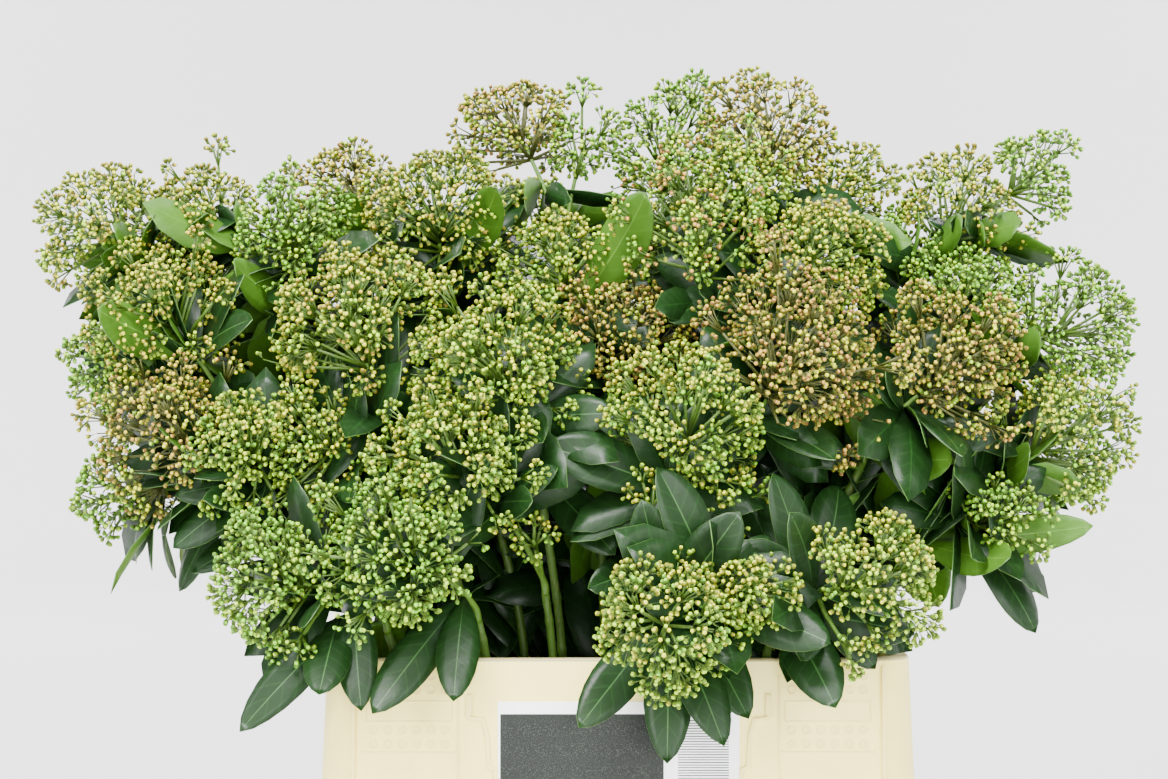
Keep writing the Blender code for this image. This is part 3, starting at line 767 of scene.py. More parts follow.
def make_bucket():
    """The open bucket: a tapering body, a rolled rim and a skirt that hangs from it."""
    body_top = shrunk(RIM_SIZE, RIM_WIDTH - WALL)
    under_rim_z = RIM_Z - 2 * WALL

    def body_at(z):
        return size_at(z, 0, BASE_SIZE, RIM_Z, body_top)

    bm = bmesh.new()
    start = shrunk(BASE_SIZE, 4 * EDGE)
    face = rounded_rectangle(bm, start, 0.0, CORNER_RADIUS - EDGE, CORNER_SEGMENTS)
    lip = shrunk(SKIRT_SIZE, WALL / 2)
    profile = quarter(shrunk(BASE_SIZE, 2 * EDGE), 2 * EDGE, 2 * EDGE, -pi / 2, 4)
    profile += [(body_at(z), z) for z in OUTER_RINGS_Z + (under_rim_z,)]
    profile += [(shrunk(RIM_SIZE, WALL), under_rim_z)]
    profile += quarter(lip, SKIRT_Z + WALL / 2, WALL / 2, -pi, 4)
    profile += quarter(lip, SKIRT_Z + WALL / 2, WALL / 2, -pi / 2, 3)[1:]
    profile += quarter(shrunk(RIM_SIZE, EDGE), RIM_Z - EDGE, EDGE, 0.0, 4)
    profile += quarter(shrunk(body_top, WALL - EDGE), RIM_Z - EDGE, EDGE, pi / 2, 3)
    profile += [(shrunk(body_at(z), WALL), z) for z in INNER_RINGS_Z]
    profile += [(shrunk(BASE_SIZE, WALL + 5 * EDGE), FLOOR)]
    drawn_up(bm, face, start, profile)
    bmesh.ops.holes_fill(bm, edges=[e for e in bm.edges if e.is_boundary])
    bmesh.ops.recalc_face_normals(bm, faces=bm.faces)
    for face in bm.faces:
        face.smooth = True
        # The rim's top faces take the second, darker khaki finish: painted shade of the crown on the rim
        top = face.calc_center_median().z > RIM_Z - EDGE * 0.9
        face.material_index = 1 if top else 0
    mesh = bpy.data.meshes.new("bucket_shell")
    bm.to_mesh(mesh)
    bm.free()
    mesh.materials.append(plastic_finish("cream_plastic", "FFF08E", "FBE880"))
    # Darker khaki plastic for the rim's top: painted shade, with the same cloud, grain and scuffs as the
    # body
    mesh.materials.append(plastic_finish("rim_painted_shade_plastic", "BDB27C", "9C9260"))
    mesh.set_sharp_from_angle(angle=radians(50))
    finish_piece(add_piece("bucket_shell", mesh), "bucket_plastic", "bucket")


def skirt_spot(x, z):
    return Vector((x, skirt_face_y(z), z))


def skirt_bar(bm, start, end, bar):
    """A low rounded bar on the skirt between two places given by X and Z."""
    width, height = bar
    a, b = skirt_spot(*start), skirt_spot(*end)
    way = (b - a).normalized()
    out = Vector((0, -1, 0))
    side = way.cross(out).normalized()
    out = side.cross(way)
    turn = Matrix((side, out, way)).transposed().to_4x4()
    length = (b - a).length + width
    place = Matrix.Translation((a + b) / 2) @ turn @ Matrix.Diagonal((width, 2 * height, length, 1))
    verts = set(bmesh.ops.create_cube(bm, size=1.0, matrix=place)["verts"])
    edges = [e for e in bm.edges if e.verts[0] in verts and e.verts[1] in verts]
    bmesh.ops.bevel(bm, geom=edges, offset=min(width, height) * 0.4, offset_type="OFFSET", segments=2,
                    profile=0.5, affect="EDGES", material=-1)


def skirt_ring(bm, x, z):
    """A small moulded ring that stands out of the skirt."""
    radius, height = RING_RADIUS, RING_HEIGHT
    lean = Vector((0, -1, 0)).rotation_difference(skirt_normal()).to_matrix().to_4x4()
    place = Matrix.Translation(skirt_spot(x, z)) @ lean @ Matrix.Rotation(pi / 2, 4, "X")
    made = bmesh.ops.create_cone(bm, cap_ends=True, segments=14, radius1=radius, radius2=radius * 0.9,
                                 depth=2 * height, matrix=place)
    outer = max({f for v in made["verts"] for f in v.link_faces if len(f.verts) > 4},
                key=lambda f: -f.calc_center_median().y)
    bmesh.ops.inset_individual(bm, faces=[outer], thickness=radius * 0.34, depth=-height * 0.7)


def skirt_normal():
    """Which way the skirt's front faces."""
    low, high = skirt_spot(0, SKIRT_Z), skirt_spot(0, RIM_Z - EDGE)
    return Vector((1, 0, 0)).cross(high - low).normalized()


def make_bucket_marks():
    """What is moulded on the skirt: ribs, label guides, rings and a bare name field."""
    bm = bmesh.new()
    for side in (1, -1):

        def bar(x, z, next_x, next_z, size):
            skirt_bar(bm, (side * x, z), (side * next_x, next_z), size)

        for x, top, size in RIBS:
            bar(x, RIB_FOOT_Z, x, top, size)
        for spot, next_spot in zip(GUIDE, GUIDE[1:]):
            bar(*spot, *next_spot, GUIDE_BAR)
        tab_x, tab_foot, tab_top = TAB
        bar(tab_x, tab_foot, tab_x, tab_top, TAB_BAR)
        for row in RING_ROWS_Z:
            for i in range(RINGS_A_ROW):
                skirt_ring(bm, side * (FIRST_RING_X + RING_STEP * i), row)
        for z in FRAME_Z:
            bar(FRAME_X[0], z, FRAME_X[1], z, FRAME_BAR)
        for x in FRAME_X:
            bar(x, FRAME_Z[0], x, FRAME_Z[1], FRAME_BAR)
        bar(LINE_X[0], LINE_Z, LINE_X[1], LINE_Z, LINE_BAR)
    spun = bmesh.ops.duplicate(bm, geom=bm.verts[:] + bm.edges[:] + bm.faces[:])
    verts = [item for item in spun["geom"] if isinstance(item, bmesh.types.BMVert)]
    bmesh.ops.rotate(bm, verts=verts, cent=(0, 0, 0), matrix=Matrix.Rotation(pi, 3, "Z"))
    bmesh.ops.recalc_face_normals(bm, faces=bm.faces)
    mesh = bpy.data.meshes.new("bucket_marks")
    bm.to_mesh(mesh)
    bm.free()
    mesh.shade_smooth()
    mesh.set_sharp_from_angle(angle=radians(35))
    # The marks are a little darker than the bucket's body: painted shade along the moulded relief
    mesh.materials.append(plastic_finish("moulded_cream_painted_shade", "FAE68C", "EED87C"))
    finish_piece(add_piece("bucket_marks", mesh), "bucket_plastic", "bucket")


def label_panel(bm, x_range, z_range):
    """A flat printed field, a hair proud of the label's card."""
    left, right = x_range
    low, high = z_range
    before = set(bm.faces)
    size = Matrix.Diagonal((right - left, INK_THICKNESS, high - low, 1))
    made = bmesh.ops.create_cube(bm, size=1.0, matrix=size)
    for vert in made["verts"]:
        vert.co.x += (left + right) / 2
        vert.co.z += (low + high) / 2
        vert.co.y += skirt_face_y(vert.co.z) - INK_LIFT
    for face in set(bm.faces) - before:
        face.material_index = 1


def make_label():
    """A white card with a plain charcoal panel and an even block of ruled lines."""
    width, thickness, height = LABEL_SIZE
    bm = bmesh.new()
    bmesh.ops.create_cube(bm, size=1.0, matrix=Matrix.Diagonal((width, thickness, height, 1)))
    for vert in bm.verts:
        vert.co.z += (LABEL_BOTTOM_Z + LABEL_TOP_Z) / 2
        vert.co.y += skirt_face_y(vert.co.z) - TOUCHING - thickness / 2
    bmesh.ops.bevel(bm, geom=bm.edges[:], offset=CARD_EDGE, offset_type="OFFSET", segments=2,
                    profile=0.5, affect="EDGES", material=-1)
    label_panel(bm, PANEL_X, PANEL_Z)
    rule_z = RULES_Z[1]
    while rule_z > RULES_Z[0]:
        label_panel(bm, RULES_X, (rule_z - RULE_WIDTH, rule_z))
        rule_z -= RULE_STEP
    bmesh.ops.recalc_face_normals(bm, faces=bm.faces)
    mesh = bpy.data.meshes.new("label_card")
    bm.to_mesh(mesh)
    bm.free()
    mesh.materials.append(card_finish())
    mesh.materials.append(ink_finish())
    finish_piece(add_piece("label_card", mesh), "label_card", "label")


# The fan of stems

def fan(z):
    """How far the stems have spread at a height: gently inside the bucket, fast above its rim."""
    inside = FOOT_SPREAD + (1 - FOOT_SPREAD) * min(z / FAN_Z, 1.0)
    return inside + FAN_SLOPE * FAN_SOFTNESS * log(1 + exp((z - FAN_Z) / FAN_SOFTNESS))


def stem_spot(lane, z):
    return Vector((lane[0] * fan(z), lane[1] * fan(z), z))


class Head:
    """A flower head: its middle, half sizes, axis and mixture of tints."""

    def __init__(self, row, fork):
        self.middle = Vector(row[:3]) * MM
        self.wide = row[3] * FULLNESS * MM
        self.tall = row[4] * FULLNESS * MM
        self.mixture = row[5]
        self.axis = (self.middle - fork).normalized() if fork else None

    def reach(self, ways):
        """How far the head reaches along each way."""
        flat = (ways[..., 0] ** 2 + ways[..., 1] ** 2) / self.wide ** 2
        return 1 / np.sqrt(flat + ways[..., 2] ** 2 / self.tall ** 2)

    def depth(self, spots):
        """Where spots are in the head: 0 in its middle and 1 on its skin."""
        away = spots - np.array(self.middle)
        flat = (away[..., 0] ** 2 + away[..., 1] ** 2) / self.wide ** 2
        return np.sqrt(flat + away[..., 2] ** 2 / self.tall ** 2)


class Shoot:
    """A cut stem's lane, its fork and the heads that it carries."""

    def __init__(self, number, rows):
        heads = [Head(row, None) for row in rows]
        middle = sum((head.middle for head in heads), Vector()) / len(heads)
        largest = max(max(head.wide, head.tall) for head in heads)
        way = (middle - FAN_HEART).normalized()
        fork = middle - way * (largest + (NECK if len(heads) == 1 else FORKED_NECK))
        fork.z = max(fork.z, RIM_Z + OVER_RIM)
        spread = fan(fork.z)
        self.number = number
        self.lane = [max(-MOUTH[i], min(MOUTH[i], fork[i] / spread)) for i in (0, 1)]
        self.fork = stem_spot(self.lane, fork.z)
        self.along = (self.fork - stem_spot(self.lane, fork.z - SHOOT_STEM)).normalized()
        self.heads = [Head(row, self.fork) for row in rows]

    def bend(self, head):
        """Where a twig, setting out along its stem, turns to its head."""
        way = head.middle - self.fork
        if head.middle.z < self.fork.z - LOW_LOBE:
            return self.bend(self.heads[0]).lerp(head.middle, INTO_HEAD)
        return self.fork + way * BEND_SHARE + self.along * (BEND_ALONG * way.length)

    def foot_of(self, head):
        """Where a head's lowest branches leave its twig."""
        bend = self.bend(head)
        way = head.middle - bend
        axis = np.array(head.axis)
        clear = max(0.0, 1 - (float(head.reach(axis)) + FOOT_CLEAR) / way.length)
        return bend + way * clear

    def lines(self):
        """The shoot's stem and twigs as straight stretches."""
        found = [(self.fork - self.along * (0.5 * SHOOT_STEM), self.fork)]
        for head in self.heads:
            bend = self.bend(head)
            found += [(self.fork, bend), (bend, bend.lerp(head.middle, INTO_HEAD))]
        return found


def smooth_path(corners, count):
    """A path that rounds its corners: a Catmull-Rom curve, evenly sampled."""
    corners = [np.array(c) for c in corners]
    ends = [2 * corners[0] - corners[1]] + corners + [2 * corners[-1] - corners[-2]]
    spots = []
    for i in range(count):
        at = i / (count - 1) * (len(corners) - 1)
        k = min(int(at), len(corners) - 2)
        t = at - k
        p0, p1, p2, p3 = ends[k:k + 4]
        spots.append(0.5 * (2 * p1 + (p2 - p0) * t + (2 * p0 - 5 * p1 + 4 * p2 - p3) * t ** 2
                            + (3 * p1 - p0 - 3 * p2 + p3) * t ** 3))
    return np.array(spots)


def make_stems(shoots, rng):
    """The cut stems, with a low swelling at each node."""
    shape = rod_shape(STEM_SIDES, EVEN_RINGS + NODES_A_STEM * len(NODE_RINGS))
    heap = Heap()
    for shoot in shoots:
        foot, end = FLOOR + TOUCHING, shoot.fork.z - SHOOT_STEM
        spread = rng.uniform(*NODE_SPREAD, NODES_A_STEM)
        nodes = foot + (end - foot) * (np.arange(NODES_A_STEM) + spread) / NODES_A_STEM
        near_nodes = [nodes + NODE_WIDTH * away for away in NODE_RINGS]
        heights = np.concatenate([np.linspace(foot, end, EVEN_RINGS), *near_nodes])
        heights = np.clip(np.sort(heights), foot, end)
        share = (heights - foot) / (end - foot)
        radii = FOOT_RADIUS + share * (TIP_RADIUS - FOOT_RADIUS)
        for node in nodes:
            radii *= 1 + NODE_SWELLING * np.exp(-((heights - node) / NODE_WIDTH) ** 2)
        heights += np.arange(len(heights)) * 1e-7
        spots = np.array([stem_spot(shoot.lane, z) for z in heights])
        heap.add(*bent_rod(shape, spots, radii))
    piece = heap.piece("cut_stems", [bark_finish("green_bark", "4E7222", "385414")])
    finish_piece(piece, "green_bark", *[f"stem_{shoot.number:02d}" for shoot in shoots])


def make_twigs(shoots, names):
    """Each shoot's short stem and the twigs that run on into its heads."""
    shape = rod_shape(TWIG_SIDES, TWIG_RINGS)
    heap = Heap()
    for shoot in shoots:
        start = stem_spot(shoot.lane, shoot.fork.z - SHOOT_STEM)
        for i, head in enumerate(shoot.heads):
            corners = [start, shoot.fork, shoot.bend(head), head.middle]
            if head.middle.z < shoot.fork.z - LOW_LOBE:
                corners = [shoot.fork, shoot.bend(shoot.heads[0]), shoot.bend(head), head.middle]
            spots = smooth_path(corners, TWIG_RINGS)
            thick = TIP_RADIUS if i == 0 else TWIG_RADIUS
            radii = np.linspace(thick, 0.5 * TWIG_RADIUS, TWIG_RINGS)
            heap.add(*bent_rod(shape, spots, radii))
    piece = heap.piece("twigs", [bark_finish("twig_bark", "587E24", "3E6016")])
    finish_piece(piece, "skimmia_buds", *names)


# The flower heads

def spiral(count, lowest, jitter, rng):
    """Ways dealt evenly round +Z, down to the lowest lean."""
    i = np.arange(count)
    lean = np.arccos(1 - (1 - cos(lowest)) * (i + 0.5) / count) + rng.normal(0, jitter, count)
    turn = i * GOLDEN_ANGLE + rng.uniform(0, 2 * pi) + rng.normal(0, jitter, count)
    return np.stack([np.sin(lean) * np.cos(turn), np.sin(lean) * np.sin(turn), np.cos(lean)], axis=1)


def frame_of(axis):
    """Three square ways, the last along the axis, as the rows of a matrix."""
    start = Vector((0, 0, 1)) if abs(axis.z) < 0.9 else Vector((1, 0, 0))
    across = axis.cross(start).normalized()
    return np.array([across, axis.cross(across).normalized(), axis])


def in_bucket(spots, clear):
    """Which spots are in the bucket's walls, skirt or inside it below the rim."""
    beside = (np.abs(spots[..., :2]) < np.array(SKIRT_SIZE) / 2 + clear).all(-1)
    return beside & (spots[..., 2] < RIM_Z + clear)


def in_mouth(spots):
    """Which spots are well inside the bucket's open mouth."""
    mouth = np.array(shrunk(RIM_SIZE, RIM_WIDTH + MOUTH_CLEAR)) / 2
    return (np.abs(spots[..., :2]) < mouth).all(-1)


class Panicle:
    """One head's buds and the stalks that carry them, as arrays.

    The head's main branches end in lobes, each a small dome of cymes, and the lower
    branches reach further out, some to a small loose lobe of their own.
    """

    def __init__(self, shoot, head, rivals, siblings, rng):
        self.head = head
        self.spots, self.ways, self.own = [], [], []
        self.cyme_count = 0
        self.cyme_lobe = []
        self.lobes(rivals, rng)
        for i in range(len(self.radii)):
            self.grow_lobe(i, rng)
        self.spots, self.ways, self.own = (np.concatenate(a) for a in (self.spots, self.ways, self.own))
        self.cyme_lobe = np.array(self.cyme_lobe)
        self.thin(rivals, siblings)
        self.join(shoot)
        self.deal(rng)

    def lobes(self, rivals, rng):
        """The head's own lobes, then loose ones that reach out and towards the next heads."""
        head = self.head
        size = sqrt(head.wide * head.tall)
        small = head.wide < LEAST_HEAD
        turn = frame_of(head.axis)
        count = SMALL_HEAD_BRANCHES if small else MAIN_BRANCHES
        lowest = LOWEST_ON_TOP if head.middle.z > TOPMOST else LOWEST_BRANCH
        ways = spiral(count, lowest, MAIN_JITTER, rng)
        share = rng.uniform(*MAIN_REACH, count)
        radii = size * rng.uniform(*MAIN_RADIUS, count)
        if not small:
            tried = spiral(LOOSE_TRIES, LOWEST_LOOSE, LOOSE_JITTER, rng)
            reaching = rng.uniform(*LOOSE_REACH, LOOSE_TRIES)
            narrow = size * rng.uniform(*LOOSE_RADIUS, LOOSE_TRIES)
            spots = tried @ turn
            spots = np.array(head.middle) + spots * (head.reach(spots) * reaching - narrow)[:, None]
            depths = [rival.depth(spots) for rival in rivals]
            nearest = np.min(depths + [np.full(LOOSE_TRIES, FAR_AWAY)], axis=0)
            filling = (nearest > FILLED_FROM) & (nearest < FILLED_DEPTH)
            free = (nearest >= FILLED_DEPTH) & (tried[:, 2] < FREE_BELOW) & (reaching < FREE_REACH)
            free &= np.cumsum(free) <= FREE_LOBES
            chosen = filling | free
            ways = np.concatenate([ways, tried[chosen]])
            share = np.concatenate([share, reaching[chosen]])
            radii = np.concatenate([radii, narrow[chosen]])
        share = share * self.swelling(ways, rng)
        self.lobe_ways = ways @ turn
        self.lobe_leans = np.arccos(np.clip(ways[:, 2], -1, 1))
        self.radii = radii
        reach = head.reach(self.lobe_ways) * share
        self.centres = np.array(head.middle) + self.lobe_ways * (reach - radii)[:, None]

    def swelling(self, ways, rng):
        """Slow swells and hollows over the head, so that no two heads are alike."""
        waves = np.sin(ways @ rng.normal(0, WAVINESS, (3, 3)) + rng.uniform(0, 2 * pi, 3))
        return 1 + SWELL * waves.mean(1)

    def grow_lobe(self, i, rng):
        """A dome of buds about one lobe's middle, gathered a little into cymes."""
        radius = self.radii[i]
        count = max(LEAST_BUDS, round(LOBE_AREA * radius ** 2 / BUD_AREA))
        cyme_count = max(LEAST_CYMES, round(count / BUDS_A_CYME))
        turn = frame_of(Vector(self.lobe_ways[i]))
        buds = spiral(count, LOWEST_BUD, BUD_JITTER, rng) @ turn
        cymes = spiral(cyme_count, LOWEST_CYME, CYME_JITTER, rng) @ turn
        own = (buds @ cymes.T).argmax(1)
        ways = units(buds + GATHERING * cymes[own])
        reach = radius * rng.uniform(*BUD_REACH, count)
        deep = rng.random(count) < DEEP_SHARE
        reach[deep] *= rng.uniform(*DEEP_REACH, deep.sum())
        self.spots.append(self.centres[i] + ways * reach[:, None])
        self.ways.append(ways)
        self.own.append(own + self.cyme_count)
        self.cyme_lobe += [i] * cyme_count
        self.cyme_count += cyme_count

    def thin(self, rivals, siblings):
        """Drops the buds that are inside another lobe, another head's space or the bucket."""
        middle = np.array(self.head.middle)
        kept = ~in_bucket(self.spots, BUD_CLEAR)
        lobe = self.cyme_lobe[self.own]
        for i, centre in enumerate(self.centres):
            away = np.linalg.norm(self.spots - centre, axis=1)
            kept &= (away > LOBE_SKIN * self.radii[i]) | (lobe == i)
        for rival in rivals:
            apart = np.array(rival.middle) - middle
            reach = np.linalg.norm(apart)
            kept &= (self.spots - middle) @ (apart / reach) < reach / 2 + RIVAL_OVERLAP
        for sibling in siblings:
            kept &= sibling.depth(self.spots) > SIBLING_SKIN
        self.spots, self.ways, self.own = self.spots[kept], self.ways[kept], self.own[kept]

    def join(self, shoot):
        """Where the stalks part: short of each lobe's middle, and half way on to a cyme's buds."""
        sums = np.zeros((self.cyme_count, 3))
        np.add.at(sums, self.own, self.spots)
        counts = np.bincount(self.own, minlength=self.cyme_count)
        self.busy = np.flatnonzero(counts)
        centres = self.centres[self.cyme_lobe]
        means = sums / np.maximum(counts, 1)[:, None]
        self.joints = centres + (means - centres) * CYME_JOINT
        self.busy_lobes = np.unique(self.cyme_lobe[self.busy])
        foot, middle = np.array(shoot.foot_of(self.head)), np.array(self.head.middle)
        lean = np.minimum(self.lobe_leans / LOWEST_BRANCH, 1.0)
        self.starts = foot + (middle - foot) * (1 - LOW_START * lean)[:, None]
        self.forks = self.starts + (self.centres - self.starts) * LOBE_FORK

    def deal(self, rng):
        """A tint for each bud, mostly one to a cyme, riper where the head faces up."""
        mixture = TINT_MIXTURES[self.head.mixture]
        names = list(mixture)
        weights = np.array([mixture[name] for name in names])
        ripe = np.array([-1.0 if name in GREEN_TINTS else 1.0 for name in names])

        def drawn(heights):
            lean = np.maximum(weights * (1 + RIPENING * heights[:, None] * ripe), 0.01)
            steps = np.cumsum(lean / lean.sum(1)[:, None], axis=1)
            return (rng.random(len(heights))[:, None] > steps[:, :-1]).sum(1)

        away = self.spots - np.array(self.head.middle)
        up = units(away) @ np.array(RIPENING_WAY)
        cyme_up = np.zeros(self.cyme_count)
        cyme_up[self.own] = up
        by_cyme = drawn(cyme_up)[self.own]
        alone = drawn(up)
        self.tints = np.array(names)[np.where(rng.random(len(up)) < ODD_BUDS, alone, by_cyme)]


def bud_shape():
    """An egg-shaped bud on a cone of calyx: 0 calyx, 1 side and 2 cap, the cap's paler tint partly a painted
    highlight.
    """
    bm = bmesh.new()
    bmesh.ops.create_uvsphere(bm, u_segments=5, v_segments=3, radius=1.0)
    levels = sorted({round(vert.co.z, 3) for vert in bm.verts})
    for vert in bm.verts:
        height, spread = BUD_RINGS[levels.index(round(vert.co.z, 3))]
        vert.co = (vert.co.x * spread, vert.co.y * spread, height)

    def finish_of(face):
        height = face.calc_center_median().z
        return 0 if height < CALYX_TOP else (2 if height > CAP_FOOT else 1)

    return Shape(bm, finish_of)


def rods_between(shape, starts, ends, radius):
    """A rod from each start to its end."""
    ways = ends - starts
    lengths = np.linalg.norm(ways, axis=1)
    turns = turned_to(ways / lengths[:, None], np.full(len(ways), radius), lengths)
    return shape.placed(turns, starts)


def make_heads(shoots, names, rng):
    """Every head's buds and stalks, joined by kind and tint."""
    bud = bud_shape()
    pedicel = spike_shape()
    branch = rod_shape(3, 2, BRANCH_TAPER)
    bough = rod_shape(5, 2, BOUGH_TAPER)
    by_tint = {tint: [] for tint in BUD_TINTS}
    stalks = {"green": [], "olive": []}
    heads = [(shoot, head) for shoot in shoots for head in shoot.heads]
    for shoot, head in heads:
        rivals = [other for owner, other in heads
                  if owner is not shoot and (other.middle - head.middle).length < RIVAL_RANGE]
        siblings = [other for other in shoot.heads if other is not head]
        made = Panicle(shoot, head, rivals, siblings, rng)
        joint = made.joints[made.own]
        ways = units(made.spots - joint)
        radii = BUD_RADIUS * rng.uniform(*BUD_SIZES, len(ways))
        for tint in by_tint:
            chosen = made.tints == tint
            by_tint[tint].append((made.spots[chosen], ways[chosen], radii[chosen]))
        busy, grown = made.busy, made.busy_lobes
        cyme_forks = made.forks[made.cyme_lobe[busy]]
        stalks["olive" if head.mixture in OLIVE_STALKED else "green"] += [
            rods_between(pedicel, joint, made.spots - ways * BUD_RADIUS, PEDICEL_RADIUS),
            rods_between(branch, cyme_forks, made.joints[busy], BRANCH_RADIUS),
            rods_between(bough, made.starts[grown], made.forks[grown], BOUGH_RADIUS),
        ]
    calyx = bud_finish("calyx_green", linear("4B6117"), linear("3A5011"), 0.5)
    for tint, lots in by_tint.items():
        make_buds(tint, lots, bud, calyx, names)
    for sort, lots in stalks.items():
        make_stalks(sort, lots, names)


def make_buds(tint, lots, bud, calyx, names):
    """The buds of one tint, in pieces of even size."""
    spots, ways, radii = (np.concatenate([lot[i] for lot in lots]) for i in range(3))
    side, cap = (linear(web) for web in BUD_TINTS[tint])
    # A darker side and a paler cap of one tint: partly the bud's own colours, partly painted shade on the
    # flanks and painted highlight on the tip
    finishes = [
        calyx,
        bud_finish(f"bud_{tint}", side, deepened(side, 0.84), 0.5),
        bud_finish(f"bud_{tint}_cap", cap, deepened(cap, 0.9), 0.46),
    ]
    parts = 1 + len(spots) // BUDS_A_PIECE
    for part, chosen in enumerate(np.array_split(np.arange(len(spots)), parts)):
        heap = Heap()
        turns = turned_to(ways[chosen], radii[chosen], radii[chosen])
        heap.add(*bud.placed(turns, spots[chosen]))
        finish_piece(heap.piece(f"buds_{tint}_{part + 1}", finishes), "skimmia_buds", *names)


def make_stalks(sort, lots, names):
    """The stalks of one colour, in pieces that are ended once they are large."""
    # The stalk colours are partly their own green and partly painted shade between the buds
    finish = bark_finish(f"stalk_{sort}", *STALK_COLOURS[sort])
    heap = Heap()
    part = 1
    count = 0
    for i, lot in enumerate(lots):
        heap.add(*lot)
        count += len(lot[1])
        if count > STALK_FACES or i == len(lots) - 1:
            finish_piece(heap.piece(f"stalks_{sort}_{part}", [finish]), "skimmia_buds", *names)
            heap = Heap()
            part += 1
            count = 0


# The leaves

def blade_shape(columns, stations):
    """A flat leaf blank with thickness: 0 upper side, 1 underside, 2 and 3 its ribs, 4 its edge.

    X runs across from -1 to 1 by its columns, the middle strip the rib, and Y along.
    """
    bm = bmesh.new()
    strips = len(columns) - 1
    bmesh.ops.create_grid(bm, x_segments=strips, y_segments=stations, size=1.0)
    for vert in bm.verts:
        vert.co.x = columns[round((vert.co.x + 1) / 2 * strips)]
        vert.co.y = 1 - (1 - (vert.co.y + 1) / 2) ** TIP_CROWDING
    bmesh.ops.solidify(bm, geom=bm.faces[:], thickness=0.02)

    def finish_of(face):
        if abs(face.normal.z) < 0.5:
            return 4
        rib = abs(face.calc_center_median().x) < 0.01
        return (2 if rib else 0) if face.normal.z > 0 else (3 if rib else 1)

    return Shape(bm, finish_of)


def half_width(t):
    """A leaf's outline: tapered at its foot, widest past its middle, with a blunt tip."""
    low = 1 - np.minimum(np.abs(WIDEST_AT - t) / WIDEST_AT, 1.0) ** FOOT_CURVE
    high = 1 - np.minimum(np.abs(t - WIDEST_AT) / (1 - WIDEST_AT), 1.0) ** TIP_CURVE
    return np.maximum(np.where(t < WIDEST_AT, low, high ** TIP_BLUNTNESS), LEAF_NECK * (1 - t))


def grown_leaf(shape, base, tip, width, upper, arch, twist, fold, wave):
    """The blank bent to a leaf between its base and tip, its upper side towards upper."""
    along = tip - base
    length = along.length
    along = along.normalized()
    upper = (upper - along * upper.dot(along)).normalized()
    side = along.cross(upper)
    u, t, sheet = shape.spots[:, 0], shape.spots[:, 1], shape.spots[:, 2]
    outline = half_width(t)
    across = u * outline * width / 2
    cup = fold * width * np.abs(u) ** FOLD_CURVE * outline
    cup += PUFF * width * np.sin(pi * np.abs(u)) * outline
    ripple = wave * width * np.abs(u) ** 2 * np.sin(t * RIPPLES + wave * RIPPLE_SHIFT) * outline
    rise = arch * length * (1 - (2 * t - 1) ** 2)
    off = cup + ripple + np.where(sheet > sheet.mean(), 0.0, -LEAF_THICKNESS)
    turn = twist * (t - 0.2)
    x = across * np.cos(turn) - off * np.sin(turn)
    z = across * np.sin(turn) + rise + off
    spots = np.array(base) + np.outer(t * length, along) + np.outer(x, side) + np.outer(z, upper)
    marks = np.stack([(u + 1) / 2, t], axis=1)
    return spots, shape.faces, shape.slots, marks


def nearest_on(lines, spot):
    """The nearest point to a spot on a shoot's stem and twigs."""
    best = None
    for start, end in lines:
        way = end - start
        share = max(0.0, min(1.0, (spot - start).dot(way) / way.length_squared))
        there = start + way * share
        if best is None or (there - spot).length < (best - spot).length:
            best = there
    return best


def is_sunk(spot, heads):
    """Whether a place lies deeper in the crown than the heads round it."""
    way = np.array(spot - FAN_HEART)
    away = np.linalg.norm(way)
    for head in heads:
        middle = np.array(head.middle - FAN_HEART)
        along = middle @ way / away
        if along > away + SUNK and np.linalg.norm(middle - way * along / away) < BESIDE * head.wide:
            return True
    return False


def crosses_a_head(base, tip, side, width, heads, skin=0.66, behind=-0.35, inner=False):
    """Whether a leaf would pass the part's box, a wall or a head's skin, hide the stems that
    show in front, or stand alone: a fine leaf far from its head, or an inner one that isn't sunk.
    """
    steps = np.linspace(TESTED_FROM, 1.0, 6)[:, None]
    middle = np.array(base) + steps * np.array(tip - base)
    edge = np.array(side) * (TESTED_EDGE * width)
    spots = np.concatenate([middle, middle[:5] + edge, middle[:5] - edge])
    low, high = (np.array(corner) for corner in SOLID_BOX)
    past_box = (spots < low + BOX_CLEAR) | (spots > high - BOX_CLEAR)
    walled = in_bucket(spots, BUCKET_CLEAR) & ~in_mouth(spots)
    low, high = (np.array(corner) for corner in STEM_WINDOW)
    in_window = ((spots > low) & (spots < high)).all(-1)
    if tip.z > BARE_TOP or past_box.any() or walled.any() or in_window.any():
        return True
    free = tip.z > BARE_ABOVE
    if inner and free and not is_sunk(tip, heads):
        return True
    for head in heads:
        depth = head.depth(spots)
        outer = (spots - np.array(head.middle)) @ np.array(head.axis) > behind * head.tall
        if (outer & (depth > skin) & (depth < HEAD_SKIN)).any():
            return True
        free = free and depth[5] > FREE_TIP
    return free and not inner


def turned_way(lean, turn, across, third, axis):
    """The way that leans from an axis, towards a turn round it."""
    return cos(lean) * axis + sin(lean) * (cos(turn) * across + sin(turn) * third)


